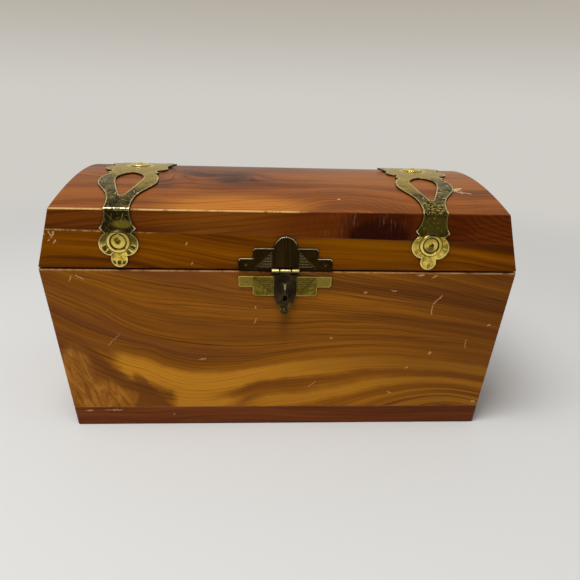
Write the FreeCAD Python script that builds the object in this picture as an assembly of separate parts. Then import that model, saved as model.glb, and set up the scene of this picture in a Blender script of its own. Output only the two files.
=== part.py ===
import FreeCAD, Part
import math
import os

from FreeCAD import Vector

# Cedar keepsake box with a domed hinged lid, two ornamental brass straps and a small brass hasp.
# Millimetres. X runs along the length, Y from front to back, Z up.
# The origin is the middle of the underside, on the surface that the box stands on.

# Case
lid_line_length = 240.0   # outside length at the line where lid and case meet
depth = 130.0             # outside, front to back
case_height = 87.5        # top of the case walls
base_thickness = 10.6
wall = 9.5                # case walls and lid rails
case_lean = 7.6           # degrees that each case end leans out on its way up
edge_round = 0.8          # eased outer edges of the boards

# Lid
lid_gap = 0.7             # open line between lid and case
rail_height = 17.0        # in the middle of the length
rail_taper = 5.0          # the rails lose this much height from the left end to the right one
top_edge = 12.4           # top board at its front and back edges, in the middle of the length
dome_rise = 11.4
lid_lean = 14.1           # degrees that each lid end leans in on its way up

# Straps
strap_thickness = 0.9
strap_seat = 0.15         # the stamped straps stand this far off the wood
strap_bend = 0.5          # inside of the fold over the edge
left_strap_inset = 39.8   # middle of the strap's front fold, from the end of the lid line
right_strap_inset = 45.6
left_strap_tilt = 0.0     # degrees out of square
right_strap_tilt = 3.5
strap_end_margin = 1.0    # from the tip of a strap to the lower edge of the lid
neck = 12.3               # width where the strap folds
belly = 30.2              # width around the teardrop opening
waist = 23.2              # width behind the belly
thorn = 27.4              # width over the small thorns behind the waist
shoulder = 24.0           # width in front of the middle ornament
ornament = 34.0           # width over the side lobes of the middle ornament
ornament_dip = 27.0       # width between the lobes on the outer side
ear = 42.0                # twice the reach of the point on the inner side
ear_lift = 15.0           # degrees that the inner points have been bent up
opening_width = 14.0
foil_thorn = 17.4         # width over the thorns on the lid front
foil_waist = 12.8
foil_lobe = 19.0          # width over the side lobes on the lid front
foil_joint = 7.2          # width where the end lobe joins

# Rings and nails of the straps
ring_diameter = 11.2
ring_height = 0.9
cup_diameter = 7.6        # raised cup inside the ring
cup_height = 1.2
nail_diameter = 1.4
nail_head = 2.6
nail_head_height = 0.6
nail_length = 11.0        # below the head
nail_clearance = 0.05     # on the radius

# Latch
latch_x = 1.0
plate_thickness = 0.9
outer_wing_length = 46.8
inner_wing_length = 32.4
wing_corner = 0.9         # cut corners of the wings
upper_outer_height = 6.0  # wings of the lid plate, above the lower edge of the lid
upper_inner_height = 11.2
tongue_width = 11.4       # round-headed raised tongue on the lid plate
tongue_height = 17.2
tongue_rise = 1.2
tongue_foot = 2.4         # from the barrel axis up to the foot of the tongue
stamp_border = 1.3        # plain strip between the tongue and the stamped lines
stamp_groove = 0.3        # width of a stamped line
stamp_depth = 0.15
lower_drop = 2.6          # from the top of the case down to the case plate
lower_outer_height = 5.6
lower_inner_height = 10.2
barrel_radius = 1.25
barrel_length = 13.6
middle_knuckle = 5.8      # the hasp's knuckle with the gaps beside it halved
hasp_pin_radius = 0.6
knuckle_gap = 0.45        # between neighbouring knuckles
pin_clearance = 0.05      # on the radius
hasp_gap = 0.35           # between the hasp and the case plate
hasp_width = 11.6
hasp_length = 22.6        # barrel axis to tip
hasp_thickness = 1.0
hasp_tip_radius = 2.2
hasp_swell = 0.8          # how far the front of the hasp swells out
swell_start = 4.2         # from the barrel axis down to the start of the swell
finger_bead = 3.2         # diameter of the bead at the tip
bead_rise = 0.25          # the bead's lowest point above the hasp's tip
slot_width = 2.2
slot_eye = 3.0            # diameter of the round upper end of the slot
slot_top = 5.0            # below the barrel axis
slot_end = 15.4
catch_width = 1.2
catch_rise = 0.8          # at the upper end, above the case plate
catch_room = 0.8          # between the catch and the upper end of the slot
catch_flat = 2.6          # level stretch of the catch before its slope
catch_toe = 2.4           # from the foot of the slope to the lower end of the slot
catch_lip = 0.1           # thickness of the foot of the slope
tack_diameter = 0.8
tack_head = 1.4
tack_head_height = 0.3
tack_length = 6.0

# Back hinges
hinge_from_end = 70.0     # middle of each hinge, from the end of the lid line
hinge_length = 25.0
hinge_inset = 0.6         # pin axis inside the back face, so that the rounded back edges stop the lid
hinge_barrel_radius = 1.6
hinge_pin_radius = 0.75
leaf_thickness = 0.7
leaf_width = 7.4          # from the pin axis inward
leaf_split = 0.1          # between the two leaves of a closed hinge
barrel_room = 0.25        # around a barrel in the wood
screw_diameter = 1.6
screw_head = 3.0
screw_length = 8.0
screw_margin = 4.0        # from the end of a leaf to the middle of a screw

# Brads through the bottom board
brad_diameter = 1.6
brad_head = 3.0
brad_head_height = 0.8
brad_sink = 0.4           # head below the underside
brad_length = 26.0
brad_from_end = 42.0      # outer brads, from the end of the lid line

# Values that follow from those above
half_depth = depth / 2.0
left_strap_x = left_strap_inset - lid_line_length / 2.0
right_strap_x = lid_line_length / 2.0 - right_strap_inset
hinge_x = lid_line_length / 2.0 - hinge_from_end
brad_x = lid_line_length / 2.0 - brad_from_end
case_run = math.tan(math.radians(case_lean))
lid_run = math.tan(math.radians(lid_lean))
case_wall_run = wall / math.cos(math.radians(case_lean))
lid_wall_run = wall / math.cos(math.radians(lid_lean))
lid_z = case_height + lid_gap
rail_top = lid_z + rail_height
crease_z = rail_top + top_edge
apex_z = crease_z + dome_rise
dome_radius = (half_depth ** 2 + dome_rise ** 2) / (2.0 * dome_rise)
dome_centre_z = apex_z - dome_radius
strap_drop = top_edge + rail_height - strap_end_margin
ring_drop = 0.55 * strap_drop
hinge_y = half_depth - hinge_inset
hinge_z = case_height + lid_gap / 2.0
barrel_z = hinge_z
barrel_y = -half_depth - plate_thickness - hasp_gap - hasp_thickness / 2.0
small = 0.001


def case_half(z):
    """Outside half length of the case at height z."""
    return lid_line_length / 2.0 - (case_height - z) * case_run


def lid_half(z):
    """Outside half length of the lid at height z."""
    return lid_line_length / 2.0 - (z - lid_z) * lid_run


def block(x0, x1, y0, y1, z0, z1):
    return Part.makeBox(x1 - x0, y1 - y0, z1 - z0, Vector(x0, y0, z0))


def rod(radius, start, end):
    axis = end - start
    return Part.makeCylinder(radius, axis.Length, start, axis)


def upright_prism(corners, y0, y1):
    """Solid with an outline of (x, z) corners, between y0 and y1."""
    points = [Vector(x, y0, z) for x, z in corners]
    face = Part.Face(Part.makePolygon(points + points[:1]))
    return face.extrude(Vector(0, y1 - y0, 0))


def eased(solid, wanted):
    """Round the outer edges that wanted() picks by their bounding boxes."""
    edges = [edge for edge in solid.Edges if wanted(edge.BoundBox)]
    return solid.makeFillet(edge_round, edges)


def joined(solids):
    return solids[0].fuse(solids[1:]).removeSplitter()


def save(name, shape):
    shape.exportStep("parts/" + name + ".step")


# Boards of the case

def long_wall(side):
    """Front (side -1) or back (side 1) wall of the case."""
    low = case_half(base_thickness)
    high = case_half(case_height)
    corners = [(-low, base_thickness), (low, base_thickness), (high, case_height), (-high, case_height)]
    outer = side * half_depth
    inner = outer - side * wall
    board = upright_prism(corners, min(outer, inner), max(outer, inner))

    def outside(box):
        on_face = abs(box.YMin - outer) < small and abs(box.YMax - outer) < small
        return on_face and box.ZMax > base_thickness + small

    return eased(board, outside)


def end_wall(side):
    """Left (side -1) or right (side 1) end of the case, between the long walls."""
    low = side * case_half(base_thickness)
    high = side * case_half(case_height)
    run = side * case_wall_run
    outer = [(low, base_thickness), (high, case_height)]
    inner = [(high - run, case_height), (low - run, base_thickness)]
    board = upright_prism(outer + inner, wall - half_depth, half_depth - wall)

    def outside(box):
        return box.ZMin > case_height - small and abs(box.XMin - high) < small and abs(box.XMax - high) < small

    return eased(board, outside)


def base_board():
    low = case_half(0.0)
    high = case_half(base_thickness)
    corners = [(-low, 0.0), (low, 0.0), (high, base_thickness), (-high, base_thickness)]
    board = upright_prism(corners, -half_depth, half_depth)
    return eased(board, lambda box: box.ZMin < small)


# Boards of the lid

def glue_line_end(side, inset=0.0):
    """Where the sloping joint under the top board meets the left (side -1) or right (side 1) end of the lid."""
    fall = side * rail_taper / lid_line_length
    z = (rail_top - fall * (lid_half(0.0) - inset)) / (1.0 - fall * lid_run)
    return side * (lid_half(z) - inset), z


def long_rail(side):
    """Front (side -1) or back (side 1) rail of the lid."""
    low = lid_half(lid_z)
    corners = [(-low, lid_z), (low, lid_z), glue_line_end(1), glue_line_end(-1)]
    outer = side * half_depth
    inner = outer - side * wall
    board = upright_prism(corners, min(outer, inner), max(outer, inner))

    def outside(box):
        on_face = abs(box.YMin - outer) < small and abs(box.YMax - outer) < small
        return on_face and box.ZMin < lid_z + small

    return eased(board, outside)


def end_rail(side):
    """Left (side -1) or right (side 1) rail of the lid, between the long rails."""
    low = side * lid_half(lid_z)
    run = side * lid_wall_run
    corners = [(low, lid_z), glue_line_end(side), glue_line_end(side, lid_wall_run), (low - run, lid_z)]
    board = upright_prism(corners, wall - half_depth, half_depth - wall)

    def outside(box):
        return box.ZMax < lid_z + small and abs(box.XMin - low) < small and abs(box.XMax - low) < small

    return eased(board, outside)


def top_board():
    """Domed plank: its front and back stand upright, its ends carry on the lean of the rails."""
    below = rail_top - rail_height
    front_low = Vector(-lid_line_length, -half_depth, below)
    front_high = Vector(-lid_line_length, -half_depth, crease_z)
    middle = Vector(-lid_line_length, 0, apex_z)
    back_high = Vector(-lid_line_length, half_depth, crease_z)
    back_low = Vector(-lid_line_length, half_depth, below)
    outline = Part.Wire([
        Part.makeLine(front_low, front_high),
        Part.Arc(front_high, middle, back_high).toShape(),
        Part.makeLine(back_high, back_low),
        Part.makeLine(back_low, front_low),
    ])
    plank = Part.Face(outline).extrude(Vector(2.0 * lid_line_length, 0, 0))
    above = apex_z + wall
    high = lid_half(above)
    left_low = glue_line_end(-1)
    right_low = glue_line_end(1)
    board = plank.common(upright_prism([left_low, right_low, (high, above), (-high, above)], -depth, depth))
    return eased(board, lambda box: box.ZMax > max(left_low[1], right_low[1]) + small)


# Straps

def band():
    """Folded strip that runs over the whole lid, before its outline is cut."""
    inner = half_depth + strap_seat
    outer = inner + strap_thickness
    inner_radius = dome_radius + strap_seat
    outer_radius = inner_radius + strap_thickness
    foot = crease_z - strap_drop - strap_thickness
    inner_z = dome_centre_z + math.sqrt(inner_radius ** 2 - inner ** 2)
    outer_z = dome_centre_z + math.sqrt(outer_radius ** 2 - outer ** 2)
    inside = [Vector(0, -inner, foot), Vector(0, -inner, inner_z), Vector(0, 0, dome_centre_z + inner_radius),
              Vector(0, inner, inner_z), Vector(0, inner, foot)]
    outside = [Vector(0, -outer, foot), Vector(0, -outer, outer_z), Vector(0, 0, dome_centre_z + outer_radius),
               Vector(0, outer, outer_z), Vector(0, outer, foot)]
    outline = Part.Wire([
        Part.makeLine(inside[0], inside[1]),
        Part.Arc(inside[1], inside[2], inside[3]).toShape(),
        Part.makeLine(inside[3], inside[4]),
        Part.makeLine(inside[4], outside[4]),
        Part.makeLine(outside[4], outside[3]),
        Part.Arc(outside[3], outside[2], outside[1]).toShape(),
        Part.makeLine(outside[1], outside[0]),
        Part.makeLine(outside[0], inside[0]),
    ])
    strip = Part.Face(outline).extrude(Vector(2.0 * ear, 0, 0))
    strip.translate(Vector(-ear, 0, 0))
    folds = [edge for edge in strip.Edges if edge.BoundBox.XLength > ear
             and edge.BoundBox.ZMin > outer_z - small and abs(edge.CenterOfMass.y) > inner]
    return strip.makeFillet(strap_bend + strap_thickness, folds)


def flipped(points):
    """The same points on the other side of the strap's middle line, in reverse order."""
    return [Vector(-point.x, point.y, 0) for point in reversed(points)]


def curve(points):
    spline = Part.BSplineCurve()
    spline.interpolate(points)
    return spline.toShape()


def foil_outline():
    """Part of a strap on the lid front, in the plane of the front: x across, y up from the fold."""
    drop = strap_drop
    above = 3.0 * strap_thickness
    start = [Vector(neck / 2, above, 0), Vector(neck / 2, 0, 0)]
    flare = [start[1], Vector(0.53 * neck, -0.17 * drop, 0), Vector(foil_thorn / 2, -0.32 * drop, 0)]
    under = [flare[2], Vector(foil_waist / 2, -0.41 * drop, 0)]
    lobe = [under[1], Vector(foil_lobe / 2, -0.59 * drop, 0), Vector(foil_joint / 2, -0.8 * drop, 0)]
    tip = [lobe[2], Vector(0, -drop, 0), Vector(-foil_joint / 2, -0.8 * drop, 0)]
    edges = [
        Part.makeLine(*start),
        Part.Arc(*flare).toShape(),
        Part.makeLine(*under),
        Part.Arc(*lobe).toShape(),
        Part.Arc(*tip).toShape(),
        Part.Arc(*flipped(lobe)).toShape(),
        Part.makeLine(*flipped(under)),
        Part.Arc(*flipped(flare)).toShape(),
        Part.makeLine(*flipped(start)),
    ]
    top_left = Vector(-neck / 2, above, 0)
    edges.append(Part.makeLine(top_left, start[0]))
    return Part.Face(Part.Wire(edges))


def opening_outline():
    """Teardrop opening in the front half of a strap, point to the front: x across, y from the front fold."""
    point = 0.115 * opening_width
    blunt = [Vector(-point, 0.195 * half_depth, 0), Vector(0, 0.172 * half_depth, 0),
             Vector(point, 0.195 * half_depth, 0)]
    side = [blunt[2], Vector(0.36 * opening_width, 0.36 * half_depth, 0),
            Vector(opening_width / 2, 0.49 * half_depth, 0)]
    head = [side[2], Vector(0.385 * opening_width, 0.62 * half_depth, 0), Vector(0, 0.69 * half_depth, 0)]
    edges = [Part.Arc(*points).toShape() for points in (blunt, side, head, flipped(head), flipped(side))]
    return Part.Face(Part.Wire(edges))


def mirrored_back(points):
    """The same points on the back half of the lid, in reverse order."""
    return [Vector(point.x, depth - point.y, 0) for point in reversed(points)]


def crown_side(middle):
    """Edges of a strap's right side on the dome, from the front fold to the back one, with its middle width."""
    above = 3.0 * strap_thickness
    half = half_depth
    start = [Vector(neck / 2, -above, 0), Vector(neck / 2, 0, 0)]
    swell = [start[1], Vector(0.51 * neck, 0.1 * half, 0), Vector(0.265 * belly, 0.205 * half, 0),
             Vector(0.4 * belly, 0.32 * half, 0), Vector(0.485 * belly, 0.41 * half, 0),
             Vector(belly / 2, 0.49 * half, 0), Vector(0.46 * belly, 0.59 * half, 0),
             Vector(waist / 2, 0.65 * half, 0)]
    prick = [swell[-1], Vector(thorn / 2, 0.685 * half, 0)]
    fall = [prick[1], Vector(0.51 * shoulder, 0.72 * half, 0), Vector(shoulder / 2, 0.765 * half, 0)]
    lobe = [fall[2], Vector(0.44 * ornament, 0.785 * half, 0), Vector(ornament / 2, 0.86 * half, 0),
            Vector(0.45 * ornament, 0.935 * half, 0)]
    point = [lobe[3], Vector(middle / 2, half, 0)]
    edges = []
    for turn in (list, mirrored_back):
        edges.append(Part.makeLine(*turn(start)))
        edges.append(curve(turn(swell)))
        edges.append(Part.makeLine(*turn(prick)))
        edges.append(Part.Arc(*turn(fall)).toShape())
        edges.append(curve(turn(lobe)))
        edges.append(Part.makeLine(*turn(point)))
    return edges


def crown_outline(inward):
    """Part of a strap on the dome, seen from above: x across, y from the front fold to the back one."""
    above = 3.0 * strap_thickness
    right = crown_side(ear if inward > 0 else ornament_dip)
    left = crown_side(ornament_dip if inward > 0 else ear)
    left = [edge.mirror(Vector(0, 0, 0), Vector(1, 0, 0)) for edge in left]
    front = Part.makeLine(Vector(-neck / 2, -above, 0), Vector(neck / 2, -above, 0))
    back = Part.makeLine(Vector(-neck / 2, depth + above, 0), Vector(neck / 2, depth + above, 0))
    edges = Part.sortEdges(right + left + [front, back])[0]
    return Part.Face(Part.Wire(edges))


def turned(shape, tilt):
    """A flat outline turned about its front fold; a positive tilt carries the far end to the right."""
    copy = shape.copy()
    copy.rotate(Vector(0, 0, 0), Vector(0, 0, 1), -tilt)
    return copy


def stamped_ring(centre, axis):
    """Ring with a raised cup in it and a hole for the nail, standing on a strap."""
    bore = nail_diameter / 2 + nail_clearance
    rim = ring_diameter / 2
    cup = cup_diameter / 2
    crest = (rim + cup) / 2
    sunk = -0.6 * strap_thickness
    floor = 0.25 * ring_height
    edges = [
        Part.makeLine(Vector(bore, 0, sunk), Vector(rim, 0, sunk)),
        Part.makeLine(Vector(rim, 0, sunk), Vector(rim, 0, floor)),
        Part.Arc(Vector(rim, 0, floor), Vector(crest, 0, ring_height), Vector(cup, 0, floor)).toShape(),
        Part.Arc(Vector(cup, 0, floor), Vector(0.62 * cup, 0, 0.8 * cup_height),
                 Vector(bore, 0, cup_height)).toShape(),
        Part.makeLine(Vector(bore, 0, cup_height), Vector(bore, 0, sunk)),
    ]
    ring = Part.Face(Part.Wire(edges)).revolve(Vector(0, 0, 0), Vector(0, 0, 1), 360)
    return placed(ring, centre, axis)


def placed(shape, centre, axis):
    """A shape made along Z, set on centre and turned so that its Z runs along axis."""
    copy = shape.copy()
    turn = FreeCAD.Rotation(Vector(0, 0, 1), axis)
    copy.Placement = FreeCAD.Placement(centre, turn).multiply(copy.Placement)
    return copy


def nail_places(x, tilt):
    """Where the nails of a strap meet its outer face, with the way that each one points out."""
    lean = math.tan(math.radians(tilt))
    out = half_depth + strap_seat + strap_thickness
    top = apex_z + strap_seat + strap_thickness
    return [
        (Vector(x - ring_drop * lean, -out, crease_z - ring_drop), Vector(0, -1, 0)),
        (Vector(x + half_depth * lean, 0, top), Vector(0, 0, 1)),
        (Vector(x + (depth + ring_drop) * lean, out, crease_z - ring_drop), Vector(0, 1, 0)),
    ]


def strap(x, tilt):
    lean = math.tan(math.radians(tilt))
    inward = -1.0 if x > 0 else 1.0
    front = turned(foil_outline(), tilt)
    front.rotate(Vector(0, 0, 0), Vector(1, 0, 0), 90)
    front.translate(Vector(0, -half_depth, crease_z))
    front = front.extrude(Vector(0, -half_depth / 4, 0)).fuse(front.extrude(Vector(0, strap_seat / 2, 0)))
    back = turned(foil_outline(), -tilt)
    back.rotate(Vector(0, 0, 0), Vector(1, 0, 0), 90)
    back.translate(Vector(depth * lean, half_depth, crease_z))
    back = back.extrude(Vector(0, half_depth / 4, 0)).fuse(back.extrude(Vector(0, -strap_seat / 2, 0)))
    low = crease_z - dome_rise
    crown = turned(crown_outline(inward), tilt)
    crown.translate(Vector(0, -half_depth, crease_z - strap_bend / 2))
    crown = crown.extrude(Vector(0, 0, apex_z + dome_rise - crease_z))
    opening = opening_outline()
    far = opening.mirror(Vector(0, half_depth, 0), Vector(0, 1, 0))
    for hole in (opening, far):
        cut = turned(hole, tilt)
        cut.translate(Vector(0, -half_depth, low))
        crown = crown.cut(cut.extrude(Vector(0, 0, apex_z + dome_rise - low)))
    sheet = band().common(front.fuse([back, crown])).removeSplitter()
    sheet.translate(Vector(x, 0, 0))
    sheet = bent_ear(sheet, x + half_depth * lean, tilt, inward)
    for centre, axis in nail_places(x, tilt):
        sheet = sheet.fuse(stamped_ring(centre, axis))
        deep = centre - axis * (strap_thickness * 2.0)
        sheet = sheet.cut(rod(nail_diameter / 2 + nail_clearance, deep, centre + axis * ring_diameter))
    return sheet.removeSplitter()


def bent_ear(sheet, x, tilt, inward):
    """Bend up the point of the middle ornament that faces the middle of the box."""
    root = inward * 0.465 * ornament
    far = inward * ear
    reach = 0.07 * half_depth
    room = turned(block(min(root, far), max(root, far), -reach, reach, crease_z, apex_z + dome_rise), tilt)
    room.translate(Vector(x, 0, 0))
    point = sheet.common(room)
    rest = sheet.cut(room)
    turn = FreeCAD.Rotation(Vector(0, 0, 1), -tilt)
    hub = Vector(x, 0, apex_z + strap_seat + strap_thickness / 2) + turn.multVec(Vector(root, 0, 0))
    point.rotate(hub, turn.multVec(Vector(0, 1, 0)), -inward * ear_lift)
    return rest.fuse(point).removeSplitter()


def pin_shape(shank, head, head_height, length):
    """Round-headed pin along Z: the underside of the head at 0, the shank below."""
    ball_radius = ((head / 2) ** 2 + head_height ** 2) / (2.0 * head_height)
    ball = Part.makeSphere(ball_radius, Vector(0, 0, head_height - ball_radius))
    cap = ball.common(Part.makeCylinder(head, head_height))
    shaft = Part.makeCylinder(shank / 2, length, Vector(0, 0, -length))
    return cap.fuse(shaft).removeSplitter()


def strap_nails(x, tilt):
    nail = pin_shape(nail_diameter, nail_head, nail_head_height, nail_length)
    return [placed(nail, centre + axis * cup_height, axis) for centre, axis in nail_places(x, tilt)]


def strap_holes(x, tilt):
    radius = nail_diameter / 2 + nail_clearance
    holes = []
    for centre, axis in nail_places(x, tilt):
        head = centre + axis * cup_height
        holes.append(rod(radius, head - axis * (nail_length + nail_clearance), head))
    return holes


# Latch

def arch(span, rise, front):
    """Radius of an arch over that span, and how far behind front its centre lies."""
    radius = ((span / 2) ** 2 + rise ** 2) / (2.0 * rise)
    return radius, front + radius


def stepped_outline(outer, inner, foot, way):
    """Stepped plate outline: two low outer wings and a high middle; way 1 climbs, -1 descends."""
    long_half = outer_wing_length / 2
    short_half = inner_wing_length / 2
    cut = wing_corner
    side = [
        (long_half, 0.0), (long_half, outer - cut), (long_half - cut, outer), (short_half, outer),
        (short_half, inner - cut), (short_half - cut, inner),
    ]
    corners = side + [(-x, z) for x, z in reversed(side)]
    return [(latch_x + x, foot + way * z) for x, z in corners]


def knuckle(x0, x1):
    axis_start = Vector(latch_x + x0, barrel_y, barrel_z)
    axis_end = Vector(latch_x + x1, barrel_y, barrel_z)
    return rod(barrel_radius, axis_start, axis_end)


def knuckle_bore():
    start = Vector(latch_x - barrel_length, barrel_y, barrel_z)
    end = Vector(latch_x + barrel_length, barrel_y, barrel_z)
    return rod(hasp_pin_radius + pin_clearance, start, end)


def tongue():
    """Raised tongue with a round head, rounded across its front."""
    face_y = -half_depth - plate_thickness / 2
    foot = barrel_z + tongue_foot
    radius = tongue_width / 2
    head = lid_z + tongue_height - radius
    edges = [
        Part.makeLine(Vector(-radius, face_y, foot), Vector(radius, face_y, foot)),
        Part.makeLine(Vector(radius, face_y, foot), Vector(radius, face_y, head)),
        Part.Arc(Vector(radius, face_y, head), Vector(0, face_y, head + radius),
                 Vector(-radius, face_y, head)).toShape(),
        Part.makeLine(Vector(-radius, face_y, head), Vector(-radius, face_y, foot)),
    ]
    front = -half_depth - plate_thickness - tongue_rise
    slab = Part.Face(Part.Wire(edges)).extrude(Vector(0, front - face_y, 0))
    bow, bow_y = arch(tongue_width, 0.65 * tongue_rise, front)
    vault = rod(bow, Vector(0, bow_y, 0), Vector(0, bow_y, 2.0 * crease_z))
    ball = Part.makeSphere(bow, Vector(0, bow_y, head))
    lower = slab.common(block(-tongue_width, tongue_width, front - wall, wall, foot - wall, head)).common(vault)
    upper = slab.common(block(-tongue_width, tongue_width, front - wall, wall, head, crease_z + wall)).common(ball)
    shape = lower.fuse(upper).removeSplitter()
    shape.translate(Vector(latch_x, 0, 0))
    return shape


def tack_places(side):
    """Tacks near the ends of a latch plate: side 1 on the lid, -1 on the case."""
    offset = (outer_wing_length + inner_wing_length) / 4
    height = lid_z + upper_outer_height / 2
    if side < 0:
        height = case_height - lower_drop - lower_outer_height / 2
    front = -half_depth - plate_thickness
    return [Vector(latch_x + turn * offset, front, height) for turn in (-1, 1)]


def tack_holes(side):
    radius = tack_diameter / 2 + nail_clearance
    depth_in = Vector(0, tack_length + nail_clearance, 0)
    return [rod(radius, place, place + depth_in) for place in tack_places(side)]


def tacks(side):
    tack = pin_shape(tack_diameter, tack_head, tack_head_height, tack_length)
    return [placed(tack, place, Vector(0, -1, 0)) for place in tack_places(side)]


def stamping(outline_z, height, way):
    """Lines stamped into the inner wings: a slanting line and short level lines beside it."""
    front = -half_depth - plate_thickness
    reach = height - wing_corner
    near = tongue_width / 2 + stamp_border
    wide = inner_wing_length / 2 - near - wing_corner
    cuts = []
    for side in (-1, 1):
        for share in (0.18, 0.32, 0.46, 0.6, 0.74):
            x0 = latch_x + side * near
            x1 = latch_x + side * (near + wide * (0.9 - share))
            z = outline_z + way * reach * share
            cuts.append(block(min(x0, x1), max(x0, x1), front - stamp_groove, front + stamp_depth,
                              z, z + stamp_groove))
        inner = latch_x + side * near
        outer = latch_x + side * (near + wide)
        low = outline_z + way * reach * 0.06
        high = outline_z + way * reach * 0.96
        slant = [(inner, high), (outer, low), (outer, low + stamp_groove), (inner, high + stamp_groove)]
        cuts.append(upright_prism(slant, front - stamp_groove, front + stamp_depth))
        edge = latch_x + side * (near - stamp_border / 2)
        cuts.append(block(edge - stamp_groove / 2, edge + stamp_groove / 2,
                          front - stamp_groove, front + stamp_depth, min(low, high), max(low, high)))
    return cuts


def upper_plate():
    corners = stepped_outline(upper_outer_height, upper_inner_height, lid_z, 1)
    plate = upright_prism(corners, -half_depth - plate_thickness, -half_depth)
    inner_end = middle_knuckle / 2 + knuckle_gap / 2
    outer_end = barrel_length / 2
    hinged = []
    for x0, x1 in ((-outer_end, -inner_end), (inner_end, outer_end)):
        hinged.append(knuckle(x0, x1))
        hinged.append(block(latch_x + x0, latch_x + x1, barrel_y, -half_depth - plate_thickness / 2,
                            barrel_z + barrel_radius / 5, barrel_z + barrel_radius))
    shape = plate.fuse(hinged + [tongue()])
    for hole in stamping(lid_z, upper_inner_height, 1) + tack_holes(1):
        shape = shape.cut(hole)
    middle = rod(barrel_radius + knuckle_gap, Vector(latch_x - inner_end, barrel_y, barrel_z),
                 Vector(latch_x + inner_end, barrel_y, barrel_z))
    return shape.cut(middle).cut(knuckle_bore()).removeSplitter()


def lower_plate():
    top = case_height - lower_drop
    corners = stepped_outline(lower_outer_height, lower_inner_height, top, -1)
    shape = upright_prism(corners, -half_depth - plate_thickness, -half_depth)
    for hole in stamping(top, lower_inner_height, -1) + tack_holes(-1) + [catch_foot(nail_clearance)]:
        shape = shape.cut(hole)
    return shape.removeSplitter()


def catch_top():
    return barrel_z - slot_top - catch_room


def catch_foot(room):
    """Square foot of the catch, through the case plate."""
    half = catch_width / 2 + room
    middle = catch_top() - catch_flat / 2
    front = -half_depth - plate_thickness
    return block(latch_x - half, latch_x + half, front, -half_depth, middle - half, middle + half)


def catch():
    """Lug in the slot of the hasp; it slopes so that the rising hasp slides off it."""
    front = -half_depth - plate_thickness
    high = catch_top()
    low = barrel_z - slot_end + catch_toe
    ridge = high - catch_flat
    crest = front - catch_rise
    side = [(front, high), (crest, high), (crest, ridge), (front - catch_lip, low), (front, low)]
    points = [Vector(latch_x - catch_width / 2, y, z) for y, z in side]
    lug = Part.Face(Part.makePolygon(points + points[:1])).extrude(Vector(catch_width, 0, 0))
    return lug.fuse(catch_foot(0.0)).removeSplitter()


def hasp_outline(back):
    """Upright sides that draw in to a rounded tip."""
    half = hasp_width / 2
    top = barrel_z - barrel_radius - knuckle_gap
    waist_z = barrel_z - 0.46 * hasp_length
    tip_z = barrel_z - hasp_length
    low = tip_z + 0.9 * hasp_tip_radius
    reach = 0.93 * hasp_tip_radius
    bow_z = 0.47 * waist_z + 0.53 * low
    right = [Vector(half, back, waist_z), Vector(0.76 * half, back, bow_z), Vector(reach, back, low)]
    left = [Vector(-point.x, point.y, point.z) for point in reversed(right)]
    edges = [
        Part.makeLine(Vector(-half, back, top), Vector(half, back, top)),
        Part.makeLine(Vector(half, back, top), right[0]),
        Part.Arc(*right).toShape(),
        Part.Arc(right[2], Vector(0, back, tip_z), left[0]).toShape(),
        Part.Arc(*left).toShape(),
        Part.makeLine(left[2], Vector(-half, back, top)),
    ]
    return Part.Face(Part.Wire(edges))


def hasp_swelling(face, front):
    """Low cushion on the front of the hasp, highest in its middle."""
    crest = front - hasp_swell
    across, across_y = arch(hasp_width, hasp_swell, crest)
    high = barrel_z - swell_start
    low = barrel_z - hasp_length
    along, along_y = arch(high - low, hasp_swell, crest)
    middle = (high + low) / 2
    block_shape = face.extrude(Vector(0, -hasp_thickness - 2.0 * hasp_swell, 0))
    trough = rod(across, Vector(0, across_y, 0), Vector(0, across_y, 2.0 * barrel_z))
    saddle = rod(along, Vector(-hasp_length, along_y, middle), Vector(hasp_length, along_y, middle))
    return block_shape.common(trough).common(saddle)


def hasp_slot(back):
    """Slot with a round eye at its upper end."""
    front = back - 4.0 * hasp_thickness
    behind = back + hasp_thickness
    half = slot_width / 2
    eye_z = barrel_z - slot_top - slot_eye / 2
    end_z = barrel_z - slot_end + half
    slot = block(-half, half, front, behind, end_z, eye_z)
    eye = rod(slot_eye / 2, Vector(0, front, eye_z), Vector(0, behind, eye_z))
    end = rod(half, Vector(0, front, end_z), Vector(0, behind, end_z))
    return slot.fuse([eye, end])


def hasp():
    """Slotted plate that hangs from the middle knuckle, swollen in front, with a bead at its tip."""
    back = barrel_y + hasp_thickness / 2
    front = back - hasp_thickness
    top = barrel_z - barrel_radius - knuckle_gap
    face = hasp_outline(back)
    plate = face.extrude(Vector(0, -hasp_thickness, 0))
    reach = middle_knuckle / 2 - knuckle_gap / 2
    neck_half = reach - knuckle_gap / 2
    stem = block(-neck_half, neck_half, front, back, top - small, barrel_z)
    bead_z = barrel_z - hasp_length + finger_bead / 2 + bead_rise
    bead = Part.makeSphere(finger_bead / 2, Vector(0, front, bead_z))
    bead_room = block(-hasp_width, hasp_width, front - finger_bead, back, bead_z - finger_bead, barrel_z)
    shape = plate.fuse([hasp_swelling(face, front), stem, bead.common(bead_room)]).cut(hasp_slot(back))
    shape.translate(Vector(latch_x, 0, 0))
    return shape.fuse(knuckle(-reach, reach)).cut(knuckle_bore()).removeSplitter()


def hasp_pin():
    start = Vector(latch_x - barrel_length / 2, barrel_y, barrel_z)
    end = Vector(latch_x + barrel_length / 2, barrel_y, barrel_z)
    return rod(hasp_pin_radius, start, end)


# Back hinges

def hinge_axis(x, start, end):
    return Vector(x + start, hinge_y, hinge_z), Vector(x + end, hinge_y, hinge_z)


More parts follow.
